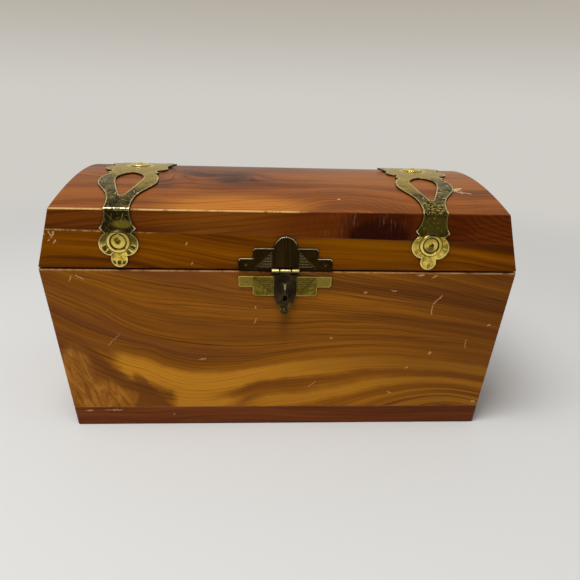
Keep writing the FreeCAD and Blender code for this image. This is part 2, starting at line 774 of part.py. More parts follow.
def hinge_leaf(x, side):
    """Leaf with its knuckles: side 1 in the lid with one knuckle, -1 in the case with two."""
    half = hinge_length / 2
    third = hinge_length / 6
    gap = knuckle_gap / 2
    spans = [(-third + gap, third - gap)]
    if side < 0:
        spans = [(-half, -third - gap), (third + gap, half)]
    near = hinge_z + side * leaf_split / 2
    far = near + side * leaf_thickness
    low = min(near, far)
    high = max(near, far)
    edge = hinge_y - hinge_barrel_radius - barrel_room
    solids = [block(x - half, x + half, hinge_y - leaf_width, edge, low, high)]
    for start, end in spans:
        solids.append(block(x + start, x + end, edge - small, hinge_y, low, high))
        solids.append(rod(hinge_barrel_radius, *hinge_axis(x, start, end)))
    leaf = joined(solids)
    leaf = leaf.cut(rod(hinge_pin_radius + pin_clearance, *hinge_axis(x, -hinge_length, hinge_length)))
    for place in screw_places(x, side):
        leaf = leaf.cut(screw_shape(place, side, nail_clearance))
    return leaf.removeSplitter()


def hinge_pin(x):
    half = hinge_length / 2
    return rod(hinge_pin_radius, *hinge_axis(x, -half, half))


def screw_places(x, side):
    offset = hinge_length / 2 - screw_margin
    y = hinge_y - 0.62 * leaf_width
    return [Vector(x + turn * offset, y, hinge_z + side * leaf_split / 2) for turn in (-1, 1)]


def screw_shape(place, side, room):
    """Countersunk screw, its head flush with the face of the leaf that looks at the other leaf."""
    head = screw_head / 2 + room
    shank = screw_diameter / 2 + room
    cone = Part.makeCone(head, shank, leaf_thickness, place, Vector(0, 0, side))
    return cone.fuse(rod(shank, place, place + Vector(0, 0, side * (screw_length + room)))).removeSplitter()


def hinge_screws(side):
    screws = []
    for x in (-hinge_x, hinge_x):
        screws += [screw_shape(place, side, 0.0) for place in screw_places(x, side)]
    return screws


def hinge_recess(x, side):
    """Room for one hinge in the edge of the back wall (side -1) or of the back rail (side 1)."""
    half = hinge_length / 2 + barrel_room
    seat = hinge_z + side * (leaf_split / 2 + leaf_thickness)
    recess = block(x - half, x + half, hinge_y - leaf_width - barrel_room, half_depth + wall,
                   min(seat, hinge_z), max(seat, hinge_z))
    groove = rod(hinge_barrel_radius + barrel_room, *hinge_axis(x, -half, half))
    holes = [screw_shape(place, side, nail_clearance) for place in screw_places(x, side)]
    return [recess, groove] + holes


# Brads through the bottom board

def brad_places():
    row = half_depth - wall / 2
    end = case_half(base_thickness) - case_wall_run / 2
    places = [Vector(x, y, brad_sink) for x in (-brad_x, 0, brad_x) for y in (-row, row)]
    return places + [Vector(-end, 0, brad_sink), Vector(end, 0, brad_sink)]


def brad_shape(place, room):
    head = rod(brad_head / 2 + room, place, place + Vector(0, 0, brad_head_height))
    shank = rod(brad_diameter / 2 + room, place, place + Vector(0, 0, brad_length + room))
    return head.fuse(shank).removeSplitter()


def brads():
    return [brad_shape(place, 0.0) for place in brad_places()]


def brad_holes():
    holes = []
    for place in brad_places():
        entry = rod(brad_head / 2 + nail_clearance, place - Vector(0, 0, brad_sink), place)
        holes.append(brad_shape(place, nail_clearance).fuse(entry))
    return holes


def bored(board, holes):
    for hole in holes:
        board = board.cut(hole)
    return board


def build():
    os.makedirs("parts", exist_ok=True)
    straps = {"left": (left_strap_x, left_strap_tilt), "right": (right_strap_x, right_strap_tilt)}
    strap_bores = []
    for x, tilt in straps.values():
        strap_bores += strap_holes(x, tilt)
    mortises = {-1: [], 1: []}
    for side in mortises:
        for x in (-hinge_x, hinge_x):
            mortises[side] += hinge_recess(x, side)
    under = brad_holes()

    save("base_board", bored(base_board(), under))
    save("front_wall", bored(long_wall(-1), under + tack_holes(-1)))
    save("back_wall", bored(long_wall(1), under + mortises[-1]))
    save("left_end_wall", bored(end_wall(-1), under))
    save("right_end_wall", bored(end_wall(1), under))
    save("base_brads", Part.makeCompound(brads()))

    save("lid_top_board", bored(top_board(), strap_bores))
    save("lid_front_rail", bored(long_rail(-1), strap_bores + tack_holes(1)))
    save("lid_back_rail", bored(long_rail(1), strap_bores + mortises[1]))
    save("lid_left_rail", end_rail(-1))
    save("lid_right_rail", end_rail(1))

    for name, (x, tilt) in straps.items():
        save(name + "_strap", strap(x, tilt))
        save(name + "_strap_nails", Part.makeCompound(strap_nails(x, tilt)))

    save("latch_lid_plate", upper_plate())
    save("latch_case_plate", lower_plate())
    save("latch_catch", catch())
    save("latch_hasp", hasp())
    save("latch_hasp_pin", hasp_pin())
    save("latch_lid_tacks", Part.makeCompound(tacks(1)))
    save("latch_case_tacks", Part.makeCompound(tacks(-1)))

    for name, x in (("left", -hinge_x), ("right", hinge_x)):
        save(name + "_hinge_case_leaf", hinge_leaf(x, -1))
        save(name + "_hinge_lid_leaf", hinge_leaf(x, 1))
        save(name + "_hinge_pin", hinge_pin(x))
    save("hinge_case_screws", Part.makeCompound(hinge_screws(-1)))
    save("hinge_lid_screws", Part.makeCompound(hinge_screws(1)))


build()
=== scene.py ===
"""Cedar keepsake box: finishes, floor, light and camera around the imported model."""

import math

import bpy
from mathutils import Matrix, Vector

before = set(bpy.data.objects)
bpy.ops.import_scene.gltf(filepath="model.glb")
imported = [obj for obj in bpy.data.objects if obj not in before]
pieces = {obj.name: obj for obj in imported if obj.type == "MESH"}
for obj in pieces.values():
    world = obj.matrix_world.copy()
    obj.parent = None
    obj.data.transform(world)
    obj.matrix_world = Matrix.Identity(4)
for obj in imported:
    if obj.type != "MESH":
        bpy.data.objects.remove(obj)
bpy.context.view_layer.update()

mm = 0.001

# Places on the box that several finishes refer to, in millimetres

front_y = -65.0               # front faces of the case and the lid
case_top_z = 87.5
glue_line_z = 105.2           # joint under the lid's top board, in the middle of the box
glue_line_fall = 5.0 / 240.0  # how much it drops for each millimetre to the right
crease_z = 117.6              # front and back edges of the lid's dome
ring_z = 102.0                # middle of the ring on a strap's end
latch_x = 1.0
barrel_y = -66.75             # axis of the hasp's barrel
barrel_z = 87.85
path_end = 125.0              # drawn paths of the grain run from -path_end to path_end


# Shorthand for nodes

def tone(red, green, blue):
    """A colour as a screen shows it, 0 to 255, turned into the light value a shader takes."""
    parts = []
    for value in (red / 255, green / 255, blue / 255):
        parts.append(value / 12.92 if value <= 0.04045 else ((value + 0.055) / 1.055) ** 2.4)
    return (*parts, 1.0)


class Recipe:
    """Lays out the nodes of one material or node group; colour is what a material has so far."""

    def __init__(self, tree, finish=None):
        self.tree = tree
        self.finish = finish
        self.colour = None

    def feed(self, socket, value):
        if isinstance(value, bpy.types.NodeSocket):
            self.tree.links.new(value, socket)
        elif value is not None:
            socket.default_value = value

    def node(self, kind, values=None, **settings):
        made = self.tree.nodes.new("ShaderNode" + kind)
        for name, value in settings.items():
            setattr(made, name, value)
        for key, value in (values or {}).items():
            self.feed(made.inputs[key], value)
        return made

    def group(self, tree, values):
        return self.node("Group", values, node_tree=tree).outputs

    def math(self, operation, first, second=None, third=None):
        return self.node("Math", {0: first, 1: second, 2: third}, operation=operation).outputs[0]

    def chain(self, operation, first, others):
        """One operation over any number of values."""
        for other in others:
            first = self.math(operation, first, other)
        return first

    def plus(self, first, *others):
        return self.chain("ADD", first, others)

    def minus(self, first, second):
        return self.math("SUBTRACT", first, second)

    def times(self, first, *others):
        return self.chain("MULTIPLY", first, others)

    def top(self, first, *others):
        return self.chain("MAXIMUM", first, others)

    def absolute(self, value):
        return self.math("ABSOLUTE", value)

    def squared_distance(self, across, up):
        return self.plus(self.times(across, across), self.times(up, up))

    def distance(self, across, up):
        return self.math("SQRT", self.squared_distance(across, up))

    def spread(self, value, centre, reach):
        """Turns a 0 to 1 value into one that swings by reach around centre."""
        return self.math("MULTIPLY_ADD", value, 2.0 * reach, centre - reach)

    def swing(self, value, reach):
        return self.spread(value, 0.0, reach)

    def share(self, value, low, high, **settings):
        """How far the value has come from low to high, evenly."""
        values = {"Value": value, "From Min": low, "From Max": high}
        return self.node("MapRange", values, **settings).outputs[0]

    def step(self, value, low, high):
        """0 below low, 1 above high, smooth between; the other way round if low is the larger."""
        return self.share(value, low, high, interpolation_type="SMOOTHSTEP")

    def window(self, value, outer_low, low, high, outer_high):
        """1 from low to high, fading to 0 at the outer values."""
        return self.times(self.step(value, outer_low, low), self.step(value, outer_high, high))

    def near(self, value, level, outer, inner):
        """1 within inner of a level, 0 further from it than outer."""
        return self.step(self.absolute(self.minus(value, level)), outer, inner)

    def mix(self, factor, first, second, blend="MIX"):
        made = self.node("Mix", data_type="RGBA", blend_type=blend)
        self.feed(made.inputs[0], factor)
        self.feed(made.inputs[6], first)
        self.feed(made.inputs[7], second)
        return made.outputs[2]

    def lay(self, colour, paint, share, *masks):
        """Lays paint over a colour where all the masks are 1, as thickly as share says."""
        return self.mix(self.times(share, *masks), colour, paint)

    def paint(self, paint, share, *masks):
        """Lays paint over the colour that the material has so far."""
        self.colour = self.lay(self.colour, paint, share, *masks)

    def shaded(self, colour, amount):
        """A colour made evenly darker or brighter."""
        return self.mix(1.0, colour, self.point(amount, amount, amount), "MULTIPLY")

    def point(self, x, y, z):
        return self.node("CombineXYZ", {0: x, 1: y, 2: z}).outputs[0]

    def split(self, vector):
        return self.node("SeparateXYZ", {0: vector}).outputs

    def noise(self, vector, scale=1.0, detail=2.0, roughness=0.5, distortion=0.0):
        values = {"Vector": vector, "Scale": scale, "Detail": detail, "Roughness": roughness,
                  "Distortion": distortion}
        return self.node("TexNoise", values).outputs[0]

    def flat_noise(self, first, first_scale, second, second_scale, layer, **settings):
        """Noise over two values, each with its own scale; every layer has a pattern of its own."""
        place = self.point(self.times(first, first_scale), self.times(second, second_scale), layer)
        return self.noise(place, **settings)

    def fray(self, along, scale, layer, low, high):
        """Gaps along a line, as wear leaves them."""
        place = self.point(self.times(along, scale), *layer)
        return self.step(self.noise(place, detail=4.0, roughness=0.7), low, high)

    def curve(self, value, points):
        made = self.node("FloatCurve", {"Value": value})
        line = made.mapping.curves[0]
        line.points[0].location = points[0]
        line.points[1].location = points[-1]
        for place in points[1:-1]:
            line.points.new(*place)
        made.mapping.update()
        return made.outputs[0]

    def path(self, x, places, top=100.0):
        """A height in millimetres that passes through the given places, each an x and a height."""
        run = self.math("MULTIPLY_ADD", x, 0.5 / path_end, 0.5)
        points = [((along + path_end) / (2.0 * path_end), up / top) for along, up in places]
        return self.times(self.curve(run, points), top)

    def patch(self, across, up, place, reach):
        """A soft spot around a place, with its reach across and up."""
        values = {"Across": across, "Up": up, "Across Place": place[0], "Up Place": place[1],
                  "Across Reach": reach[0], "Up Reach": reach[1]}
        return self.group(soft_patch, values)["Mask"]

    def in_box_frame(self, vector, kind):
        return self.node("VectorTransform", {0: vector}, vector_type=kind, convert_from="WORLD",
                         convert_to="OBJECT").outputs[0]

    def facing(self):
        """The way a face looks, in the box's own frame."""
        flat = self.node("NewGeometry").outputs["True Normal"]
        return self.split(self.in_box_frame(flat, "NORMAL"))

    def place_mm(self):
        """Place on the piece, in millimetres of the box's own frame."""
        spot = self.node("TexCoord").outputs["Object"]
        return self.node("VectorMath", {0: spot, "Scale": 1.0 / mm}, operation="SCALE").outputs[0]


def new_group(name, inputs, floats, colours=()):
    """An empty node group and its two ends; an input is given by its first value or by its kind."""
    tree = bpy.data.node_groups.new(name, "ShaderNodeTree")
    for label, value in inputs.items():
        kind = value if isinstance(value, str) else "Float"
        socket = tree.interface.new_socket(label, in_out="INPUT", socket_type="NodeSocket" + kind)
        if kind == "Float":
            socket.default_value = value
    for kind, labels in (("Color", colours), ("Float", floats)):
        for label in labels:
            tree.interface.new_socket(label, in_out="OUTPUT", socket_type="NodeSocket" + kind)
    given = tree.nodes.new("NodeGroupInput").outputs
    result = tree.nodes.new("NodeGroupOutput").inputs
    return tree, Recipe(tree), given, result


# Effects shared by several finishes

def make_soft_patch():
    """A round or long patch that fades out from its middle."""
    inputs = {"Across": 0, "Up": 0, "Across Place": 0, "Up Place": 0, "Across Reach": 10,
              "Up Reach": 10}
    tree, r, given, result = new_group("soft patch", inputs, ["Mask"])
    across = r.math("DIVIDE", r.minus(given["Across"], given["Across Place"]), given["Across Reach"])
    up = r.math("DIVIDE", r.minus(given["Up"], given["Up Place"]), given["Up Reach"])
    r.feed(result["Mask"], r.math("POWER", math.e, r.times(r.squared_distance(across, up), -1)))
    return tree


def make_log_rings():
    """Distance from the heart of the log that a board was sawn from."""
    inputs = {"Along": 0, "Across": 0, "Depth": 0, "Heart Across": 0, "Heart Depth": 40,
              "Wander": 8}
    tree, r, given, result = new_group("log rings", inputs, ["Ring"])
    run = r.times(given["Along"], 0.009)
    sway = r.noise(r.point(run, 3.7, r.times(given["Across"], 0.004)), detail=1)
    lift = r.noise(r.point(run, 9.1, 0), detail=1)
    across = r.minus(given["Across"], given["Heart Across"])
    across = r.plus(across, r.times(r.minus(sway, 0.5), given["Wander"]))
    depth = r.minus(given["Depth"], given["Heart Depth"])
    depth = r.plus(depth, r.times(r.minus(lift, 0.5), given["Wander"]))
    r.feed(result["Ring"], r.distance(across, depth))
    return tree


def make_cedar_grain():
    """Bands, growth lines and fibres of red cedar, from the place across and along the rings."""
    inputs = {"Ring": 0, "Along": 0, "Depth": 0, "Spacing": 2.2, "Line Depth": 0.6,
              "Band Low": 0.36, "Band High": 0.66, "Pale": "Color", "Brown": "Color", "Dark": "Color"}
    tree, r, given, result = new_group("cedar grain", inputs, ["Lines", "Fibre"], ["Colour"])
    ring = given["Ring"]
    along = given["Along"]
    depth = given["Depth"]
    drift = r.flat_noise(ring, 0.1, along, 0.009, 2.3)
    shiver = r.flat_noise(ring, 0.5, along, 0.07, 6.1)
    even = r.plus(ring, r.swing(drift, 4.2), r.swing(shiver, 0.3))
    turn = r.math("FRACT", r.math("DIVIDE", even, given["Spacing"]))
    vary = r.flat_noise(ring, 0.31, along, 0.006, 7.9)
    lines = r.times(r.window(turn, 0.62, 0.92, 0.93, 1), r.step(vary, 0.34, 0.66))
    wide = r.flat_noise(ring, 0.105, along, 0.0045, 4.1, detail=2.5, roughness=0.6)
    bands = r.step(wide, given["Band Low"], given["Band High"])
    fibre = r.flat_noise(ring, 2.6, along, 0.045, r.times(depth, 1.3), detail=5, roughness=0.75)
    streak = r.flat_noise(ring, 0.9, along, 0.01, r.times(depth, 0.3), detail=3)
    colour = r.mix(bands, given["Pale"], given["Brown"])
    colour = r.lay(colour, given["Dark"], given["Line Depth"], lines)
    shade = r.plus(r.spread(fibre, 1, 0.55), r.swing(streak, 0.36))
    r.feed(result["Colour"], r.shaded(colour, shade))
    r.feed(result["Lines"], lines)
    r.feed(result["Fibre"], fibre)
    return tree


def make_edge_wear():
    """Where a piece turns a corner, broken up as wear is; Upward keeps only corners that face up, for a
    painted highlight.
    """
    inputs = {"Place": "Vector", "Radius": 0.6, "Low": 0.03, "High": 0.3, "Broken": 1}
    tree, r, given, result = new_group("edge wear", inputs, ["Mask", "Upward"])
    bevel = r.node("Bevel", {"Radius": r.times(given["Radius"], mm)}, samples=6).outputs[0]
    flat = r.node("NewGeometry").outputs["Normal"]
    agree = r.node("VectorMath", {0: bevel, 1: flat}, operation="DOT_PRODUCT").outputs["Value"]
    edge = r.step(r.minus(1, agree), given["Low"], given["High"])
    rub = r.step(r.noise(given["Place"], scale=0.35, detail=4, roughness=0.7), 0.25, 0.6)
    kept = r.minus(1, r.times(given["Broken"], r.minus(1, rub)))
    mask = r.times(edge, kept)
    lean = r.node("VectorMath", {0: bevel, 1: flat}, operation="SUBTRACT").outputs[0]
    rise = r.split(r.in_box_frame(lean, "VECTOR"))[2]
    r.feed(result["Mask"], mask)
    r.feed(result["Upward"], r.times(mask, r.step(rise, 0.1, 0.3)))
    return tree


def make_scuff():
    """One short pale scratch on a flat face."""
    inputs = {"Across": 0, "Up": 0, "Across Place": 0, "Up Place": 0, "Turn": 0, "Length": 5,
              "Width": 0.35}
    tree, r, given, result = new_group("scuff", inputs, ["Mask"])
    across = r.minus(given["Across"], given["Across Place"])
    up = r.minus(given["Up"], given["Up Place"])
    wobble = r.flat_noise(across, 0.5, up, 0.5, given["Turn"], detail=3)
    cosine = r.math("COSINE", given["Turn"])
    sine = r.math("SINE", given["Turn"])
    run = r.plus(r.times(across, cosine), r.times(up, sine))
    off = r.minus(r.times(up, cosine), r.times(across, sine))
    off = r.plus(off, r.swing(wobble, 1.1))
    slim = r.step(r.math("DIVIDE", r.absolute(off), given["Width"]), 1, 0.3)
    ends = r.step(r.math("DIVIDE", r.absolute(run), r.times(given["Length"], 0.5)), 1, 0.6)
    gaps = r.flat_noise(run, 1.3, off, 2, 5, detail=3)
    r.feed(result["Mask"], r.times(slim, ends, r.step(gaps, 0.3, 0.55)))
    return tree


def make_tarnish():
    """Cloudy tarnish, and fine straight scratches through it on a sheet that lies across x and z."""
    inputs = {"Place": "Vector", "Amount": 0.5}
    tree, r, given, result = new_group("tarnish", inputs, ["Mask", "Scratches", "Cloud"])
    cloud = r.noise(given["Place"], scale=0.16, detail=5, roughness=0.62, distortion=0.4)
    speck = r.noise(given["Place"], scale=0.9, detail=3, roughness=0.6)
    both = r.plus(r.times(cloud, 0.75), r.times(speck, 0.25))
    start = r.minus(0.86, given["Amount"])
    r.feed(result["Mask"], r.step(r.minus(both, start), -0.16, 0.16))
    x, y, z = r.split(given["Place"])
    marks = 0
    for turn, layer in ((0.35, 0), (-0.8, 31), (1.3, 57)):
        run = r.plus(r.times(x, math.cos(turn)), r.times(z, math.sin(turn)))
        off = r.minus(r.times(z, math.cos(turn)), r.times(x, math.sin(turn)))
        thread = r.flat_noise(run, 0.025, off, 0.42, layer, detail=0)
        slim = r.near(thread, 0.5, 0.026, 0.008)
        gaps = r.flat_noise(run, 0.17, off, 0.6, layer + 9, detail=1)
        marks = r.top(marks, r.times(slim, r.step(gaps, 0.54, 0.64)))
    r.feed(result["Scratches"], marks)
    r.feed(result["Cloud"], cloud)
    return tree


def make_hatched_corner():
    """Stamped triangle with level lines, its right angle at the given start."""
    line_spacing = 1.1
    inputs = {"Out": 0, "Up": 0, "Out Reach": 9.5, "Up Reach": 9}
    tree, r, given, result = new_group("hatched corner", inputs, ["Mask", "Lines"])
    out_share = r.math("DIVIDE", given["Out"], given["Out Reach"])
    up_share = r.math("DIVIDE", given["Up"], given["Up Reach"])
    inside = r.times(r.step(given["Out"], 0, 0.2), r.step(given["Up"], 0, 0.2))
    r.feed(result["Mask"], r.times(inside, r.step(r.plus(out_share, up_share), 1, 0.95)))
    wave = r.math("SINE", r.times(given["Up"], 2 * math.pi / line_spacing))
    r.feed(result["Lines"], r.step(wave, -0.2, 0.7))
    return tree


soft_patch = make_soft_patch()
log_rings = make_log_rings()
cedar_grain = make_cedar_grain()
edge_wear = make_edge_wear()
scuff = make_scuff()
tarnish = make_tarnish()
hatched_corner = make_hatched_corner()


# Cedar finishes

cedar_pale = tone(150, 91, 14)
cedar_brown = tone(120, 68, 8)
cedar_red = tone(104, 52, 12)
cedar_dark = tone(62, 28, 4)
worn_wood = tone(196, 150, 96)
scratch_pale = tone(214, 172, 116)
corner_shade_and_dirt = tone(38, 17, 5)

# Scratches: the place on the face, the turn, the length and the width of each

front_wall_scratches = (
    ((-100.5, 83.5), -0.7, 5, 0.45), ((-105, 82.5), 1.2, 4, 0.35), ((-86, 50), 0.75, 11, 0.22),
    ((-13.6, 60.3), 1.25, 4, 0.35), ((-13.5, 68), 1.5, 1.6, 0.5), ((-41.5, 38.8), 0.1, 5, 0.3),
    ((81.2, 73.4), 0.8, 5.5, 0.5), ((78.2, 67), 1.5, 6, 0.42), ((78.9, 71), 1, 3, 0.4),
    ((109.5, 58.6), 0.6, 2.2, 0.6), ((79.4, 42.4), 0.9, 2.2, 0.9), ((67.5, 33.8), 0.6, 2.4, 0.5),
    ((59.5, 19), -0.7, 3, 0.5), ((98.5, 48), 1.5, 6, 0.25), ((26, 51), 0.5, 1.6, 0.6),
    ((42.5, 76.4), 0.3, 2, 0.6), ((57, 77.6), -0.2, 4, 0.35), ((70, 86), 0, 5, 0.5),
    ((77.5, 85.2), 0.6, 4, 0.55), ((107, 13), 0.4, 2.6, 0.7), ((17, 24), 0.7, 6, 0.3))
lid_top_scratches = (
    ((90, -37), -0.35, 12, 0.8), ((92, -36.5), 0.25, 11, 0.7), ((91, -39.5), 0.8, 8, 0.7),
    ((93.5, -41), -0.9, 6, 0.6), ((97, -41.5), -0.5, 7, 0.5), ((28, -52), 0.4, 1.6, 0.6))
lid_rail_scratches = (
    ((-112.6, 105.2), 2, 3.6, 0.6), ((-111.2, 104.6), 1.2, 4.4, 0.6), ((-115.6, 105), 0.6, 1.8, 0.6),
    ((-110.8, 101.2), 1, 3, 0.5), ((-113.4, 102), 0.8, 1.6, 0.5), ((-47.5, 101), 1.3, 2, 0.5),
    ((-45, 91), 1.4, 1.8, 0.4))
base_scratches = (
    ((-102, 8.6), 0, 5, 0.4), ((-89, 8.8), 0.02, 11, 0.35), ((-57, 6), 0.5, 1.6, 0.4))


def new_finish(name):
    """The recipe of an empty material, and the place on the piece, whole and as x, y and z."""
    finish = bpy.data.materials.new(name)
    finish.use_nodes = True
    finish.node_tree.nodes.clear()
    r = Recipe(finish.node_tree, finish)
    spot = r.place_mm()
    return r, spot, r.split(spot)


def close_finish(r, shader):
    r.node("OutputMaterial", {"Surface": shader.outputs[0]})
    return r.finish


def near_front(r, y, far, near):
    """1 closer to the front face than near, 0 further behind it than far."""
    return r.step(y, front_y + far, front_y + near)


def varnished(r, spot, grain, wear_amount, shine=0.36, coat=None, gleam=0.06):
    """Satin varnish over the wood, rubbed through at the edges, with painted shade and some dirt in the
    corners.
    """
    worn = r.group(edge_wear, {"Place": spot, "Radius": 0.9, "Low": 0.02, "High": 0.09})["Mask"]
    r.paint(worn_wood, wear_amount, worn)
    open_air = r.node("AmbientOcclusion", {"Distance": 2.5 * mm}, samples=8).outputs["AO"]
    # painted shade where other parts close in on the wood, beside the metal and in the joints, with some dirt
    # in the joints
    r.paint(corner_shade_and_dirt, 0.7, r.step(open_air, 0.85, 0.38))
    smear = r.noise(spot, scale=0.03, detail=3)
    rough = r.plus(r.spread(smear, shine, 0.1), r.times(grain["Lines"], 0.05))
    height = r.minus(r.times(grain["Fibre"], 0.35), r.times(grain["Lines"], 0.5))
    eased = r.node("Bevel", {"Radius": 0.5 * mm}, samples=4).outputs[0]
    relief = {"Height": height, "Strength": 0.1, "Distance": 0.3 * mm, "Normal": eased}
    bump = r.node("Bump", relief).outputs[0]
    look = {"Base Color": r.colour, "Roughness": rough, "Normal": bump, "Coat Weight": coat}
    shader = r.node("BsdfPrincipled", look)
    shader.inputs["Specular IOR Level"].default_value = gleam
    shader.inputs["Coat Roughness"].default_value = 0.34
    return close_finish(r, shader)


def scratched(r, across, up, scratches, share, pale):
    """Pale scratches over the colour so far."""
    mask = 0
    for place, turn, length, width in scratches:
        values = {"Across": across, "Up": up, "Across Place": place[0], "Up Place": place[1],
                  "Turn": turn, "Length": length, "Width": width}
        mask = r.top(mask, r.group(scuff, values)["Mask"])
    r.paint(pale, share, mask)


def cedar(r, ring, along, depth, spacing, line_depth, pale, brown, dark, bands=(0.36, 0.66)):
    """Cedar grain of one board, which gives the material its first colour."""
    values = {"Ring": ring, "Along": along, "Depth": depth, "Spacing": spacing, "Line Depth": line_depth,
              "Band Low": bands[0], "Band High": bands[1], "Pale": pale, "Brown": brown, "Dark": dark}
    grain = r.group(cedar_grain, values)
    r.colour = grain["Colour"]
    return grain


def plain_board(name, axes, heart, spacing=2.4, pale=cedar_pale, brown=cedar_brown, scratches=()):
    """A board with the quiet grain of its own log; axes names those along it, across it and through it."""
    r, spot, (x, y, z) = new_finish(name)
    along, across, depth = [{"x": x, "y": y, "z": z}[axis] for axis in axes]
    values = {"Along": along, "Across": across, "Depth": depth, "Heart Across": heart[0],
              "Heart Depth": heart[1], "Wander": 10}
    ring = r.group(log_rings, values)["Ring"]
    grain = cedar(r, ring, along, depth, spacing, 0.55, pale, brown, cedar_dark)
    if scratches:
        outside = r.times(near_front(r, y, 5, 2), 0.8)
        scratched(r, x, z, scratches, outside, worn_wood)
    return varnished(r, spot, grain, 0.22)


def front_layers(r, x, z):
    """Height of the growth layers of the front wall, from five of them followed along the board."""
    crest = r.path(x, [(-125, 97), (-95, 87), (-80, 82.5), (-60, 79), (-40, 76.5), (-20, 74), (0, 72.5),
                       (31, 70), (50, 68.5), (76, 65), (97, 61.5), (125, 56)])
    upper = r.path(x, [(-125, 82), (-113, 77), (-100, 70.5), (-90, 65.5), (-80, 59), (-68, 54), (-54, 51),
                       (-40, 49.5), (-20, 49), (0, 49.5), (22, 51.5), (52, 52), (73, 50), (98, 47),
                       (125, 42)])
    lower = r.path(x, [(-125, 69), (-110, 58), (-100, 53), (-90, 49.5), (-80, 47), (-68, 45), (-59, 41),
                       (-49, 38), (-39, 37), (-29, 37), (-14, 38), (2, 41), (22, 44), (53, 45), (78, 43),
                       (99, 40.5), (125, 36)])
    flame = r.path(x, [(-125, 60), (-100, 46), (-84, 38), (-70, 33), (-59, 27.5), (-44, 25), (-29, 27),
                       (-9, 31.8), (11, 34), (32, 36), (53, 36.5), (74, 35.5), (95, 33), (125, 28)])
    foot = r.path(x, [(-125, 40), (-100, 22), (-80, 12), (-60, 8), (-40, 7), (-25, 9.5), (-9, 14), (11, 16.5),
                      (27, 19.5), (43, 23), (59, 25.8), (74, 27), (90, 26.5), (104, 24.5), (125, 20)])
    below_flame = r.math("MINIMUM", r.share(z, foot, flame, clamp=False), 1)
    above_upper = r.top(r.share(z, upper, crest, clamp=False), 0)
    return r.plus(r.math("MULTIPLY_ADD", below_flame, 16, 10), r.times(r.share(z, flame, lower), 12),
                  r.times(r.share(z, lower, upper), 12), r.times(above_upper, 20))


def golden_flame(r, x, layer, loose_x, loose):
    """Where the front wall is golden, and a red lens that lies in it."""

    def around(level, reach, core=0.35):
        return r.near(loose, level, reach, reach * core)

    flame = r.times(around(26, 8), r.step(loose_x, -90, -80))
    flame = r.times(flame, r.minus(0.95, r.times(r.step(x, -30, 70), 0.68)))
    pool = r.times(r.window(loose, 8, 13, 22, 26), r.step(loose_x, -61, -55))
    pool = r.times(pool, r.step(x, -14, -30), 0.85)
    low_band = r.times(around(9.5, 6, 0.2), r.step(x, -30, -5))
    low_band = r.times(low_band, r.minus(0.68, r.times(r.step(x, 30, 90), 0.26)))
    stripes = r.flat_noise(layer, 0.32, x, 0.004, 5)
    arches = r.times(r.step(loose, 6, 3), r.step(x, 25, 45), r.step(stripes, 0.42, 0.56), 0.34)
    glow = r.top(flame, pool, low_band, arches)
    lens = r.times(around(17.9, 3.6, 0.2), r.step(loose_x, -42, -18))
    return r.times(glow, r.minus(1, r.times(lens, 0.8))), lens


def feathered_corner(r, x, y, z, drawn, loose_x):
    """Feathered grain in the lower left corner of the front wall, with dark wood to the right of it."""
    corner = r.plus(r.patch(x, z, (-93, 15), (17, 13)), r.patch(x, z, (-107, 36), (8, 14)))
    leaning_x = r.plus(x, r.times(z, 0.35))
    mottle = r.flat_noise(leaning_x, 0.26, z, 0.07, y, detail=5, roughness=0.7, distortion=0.8)
    feathers = r.mix(r.step(mottle, 0.36, 0.66), tone(120, 68, 16), tone(182, 119, 42))
    r.paint(feathers, 0.85, r.step(corner, 0.25, 0.8))
    bank = r.path(x, [(-125, 56), (-114, 51), (-107, 49), (-98, 42), (-88, 31), (-79, 24), (-72, 21),
                      (125, 20)])
    loose_z = r.plus(z, r.swing(drawn, 4))
    shade = r.times(r.near(loose_z, bank, 5.5, 2.5), r.step(loose_x, -70, -76), 0.85)
    right_side = r.minus(r.math("MULTIPLY_ADD", r.minus(28, z), 0.67, -71), loose_x)
    wedge = r.times(r.step(loose_x, -78, -75.5), r.step(right_side, -1, 1.5), r.step(z, 33, 28))
    r.paint(tone(100, 54, 16), 0.68, r.top(shade, wedge))


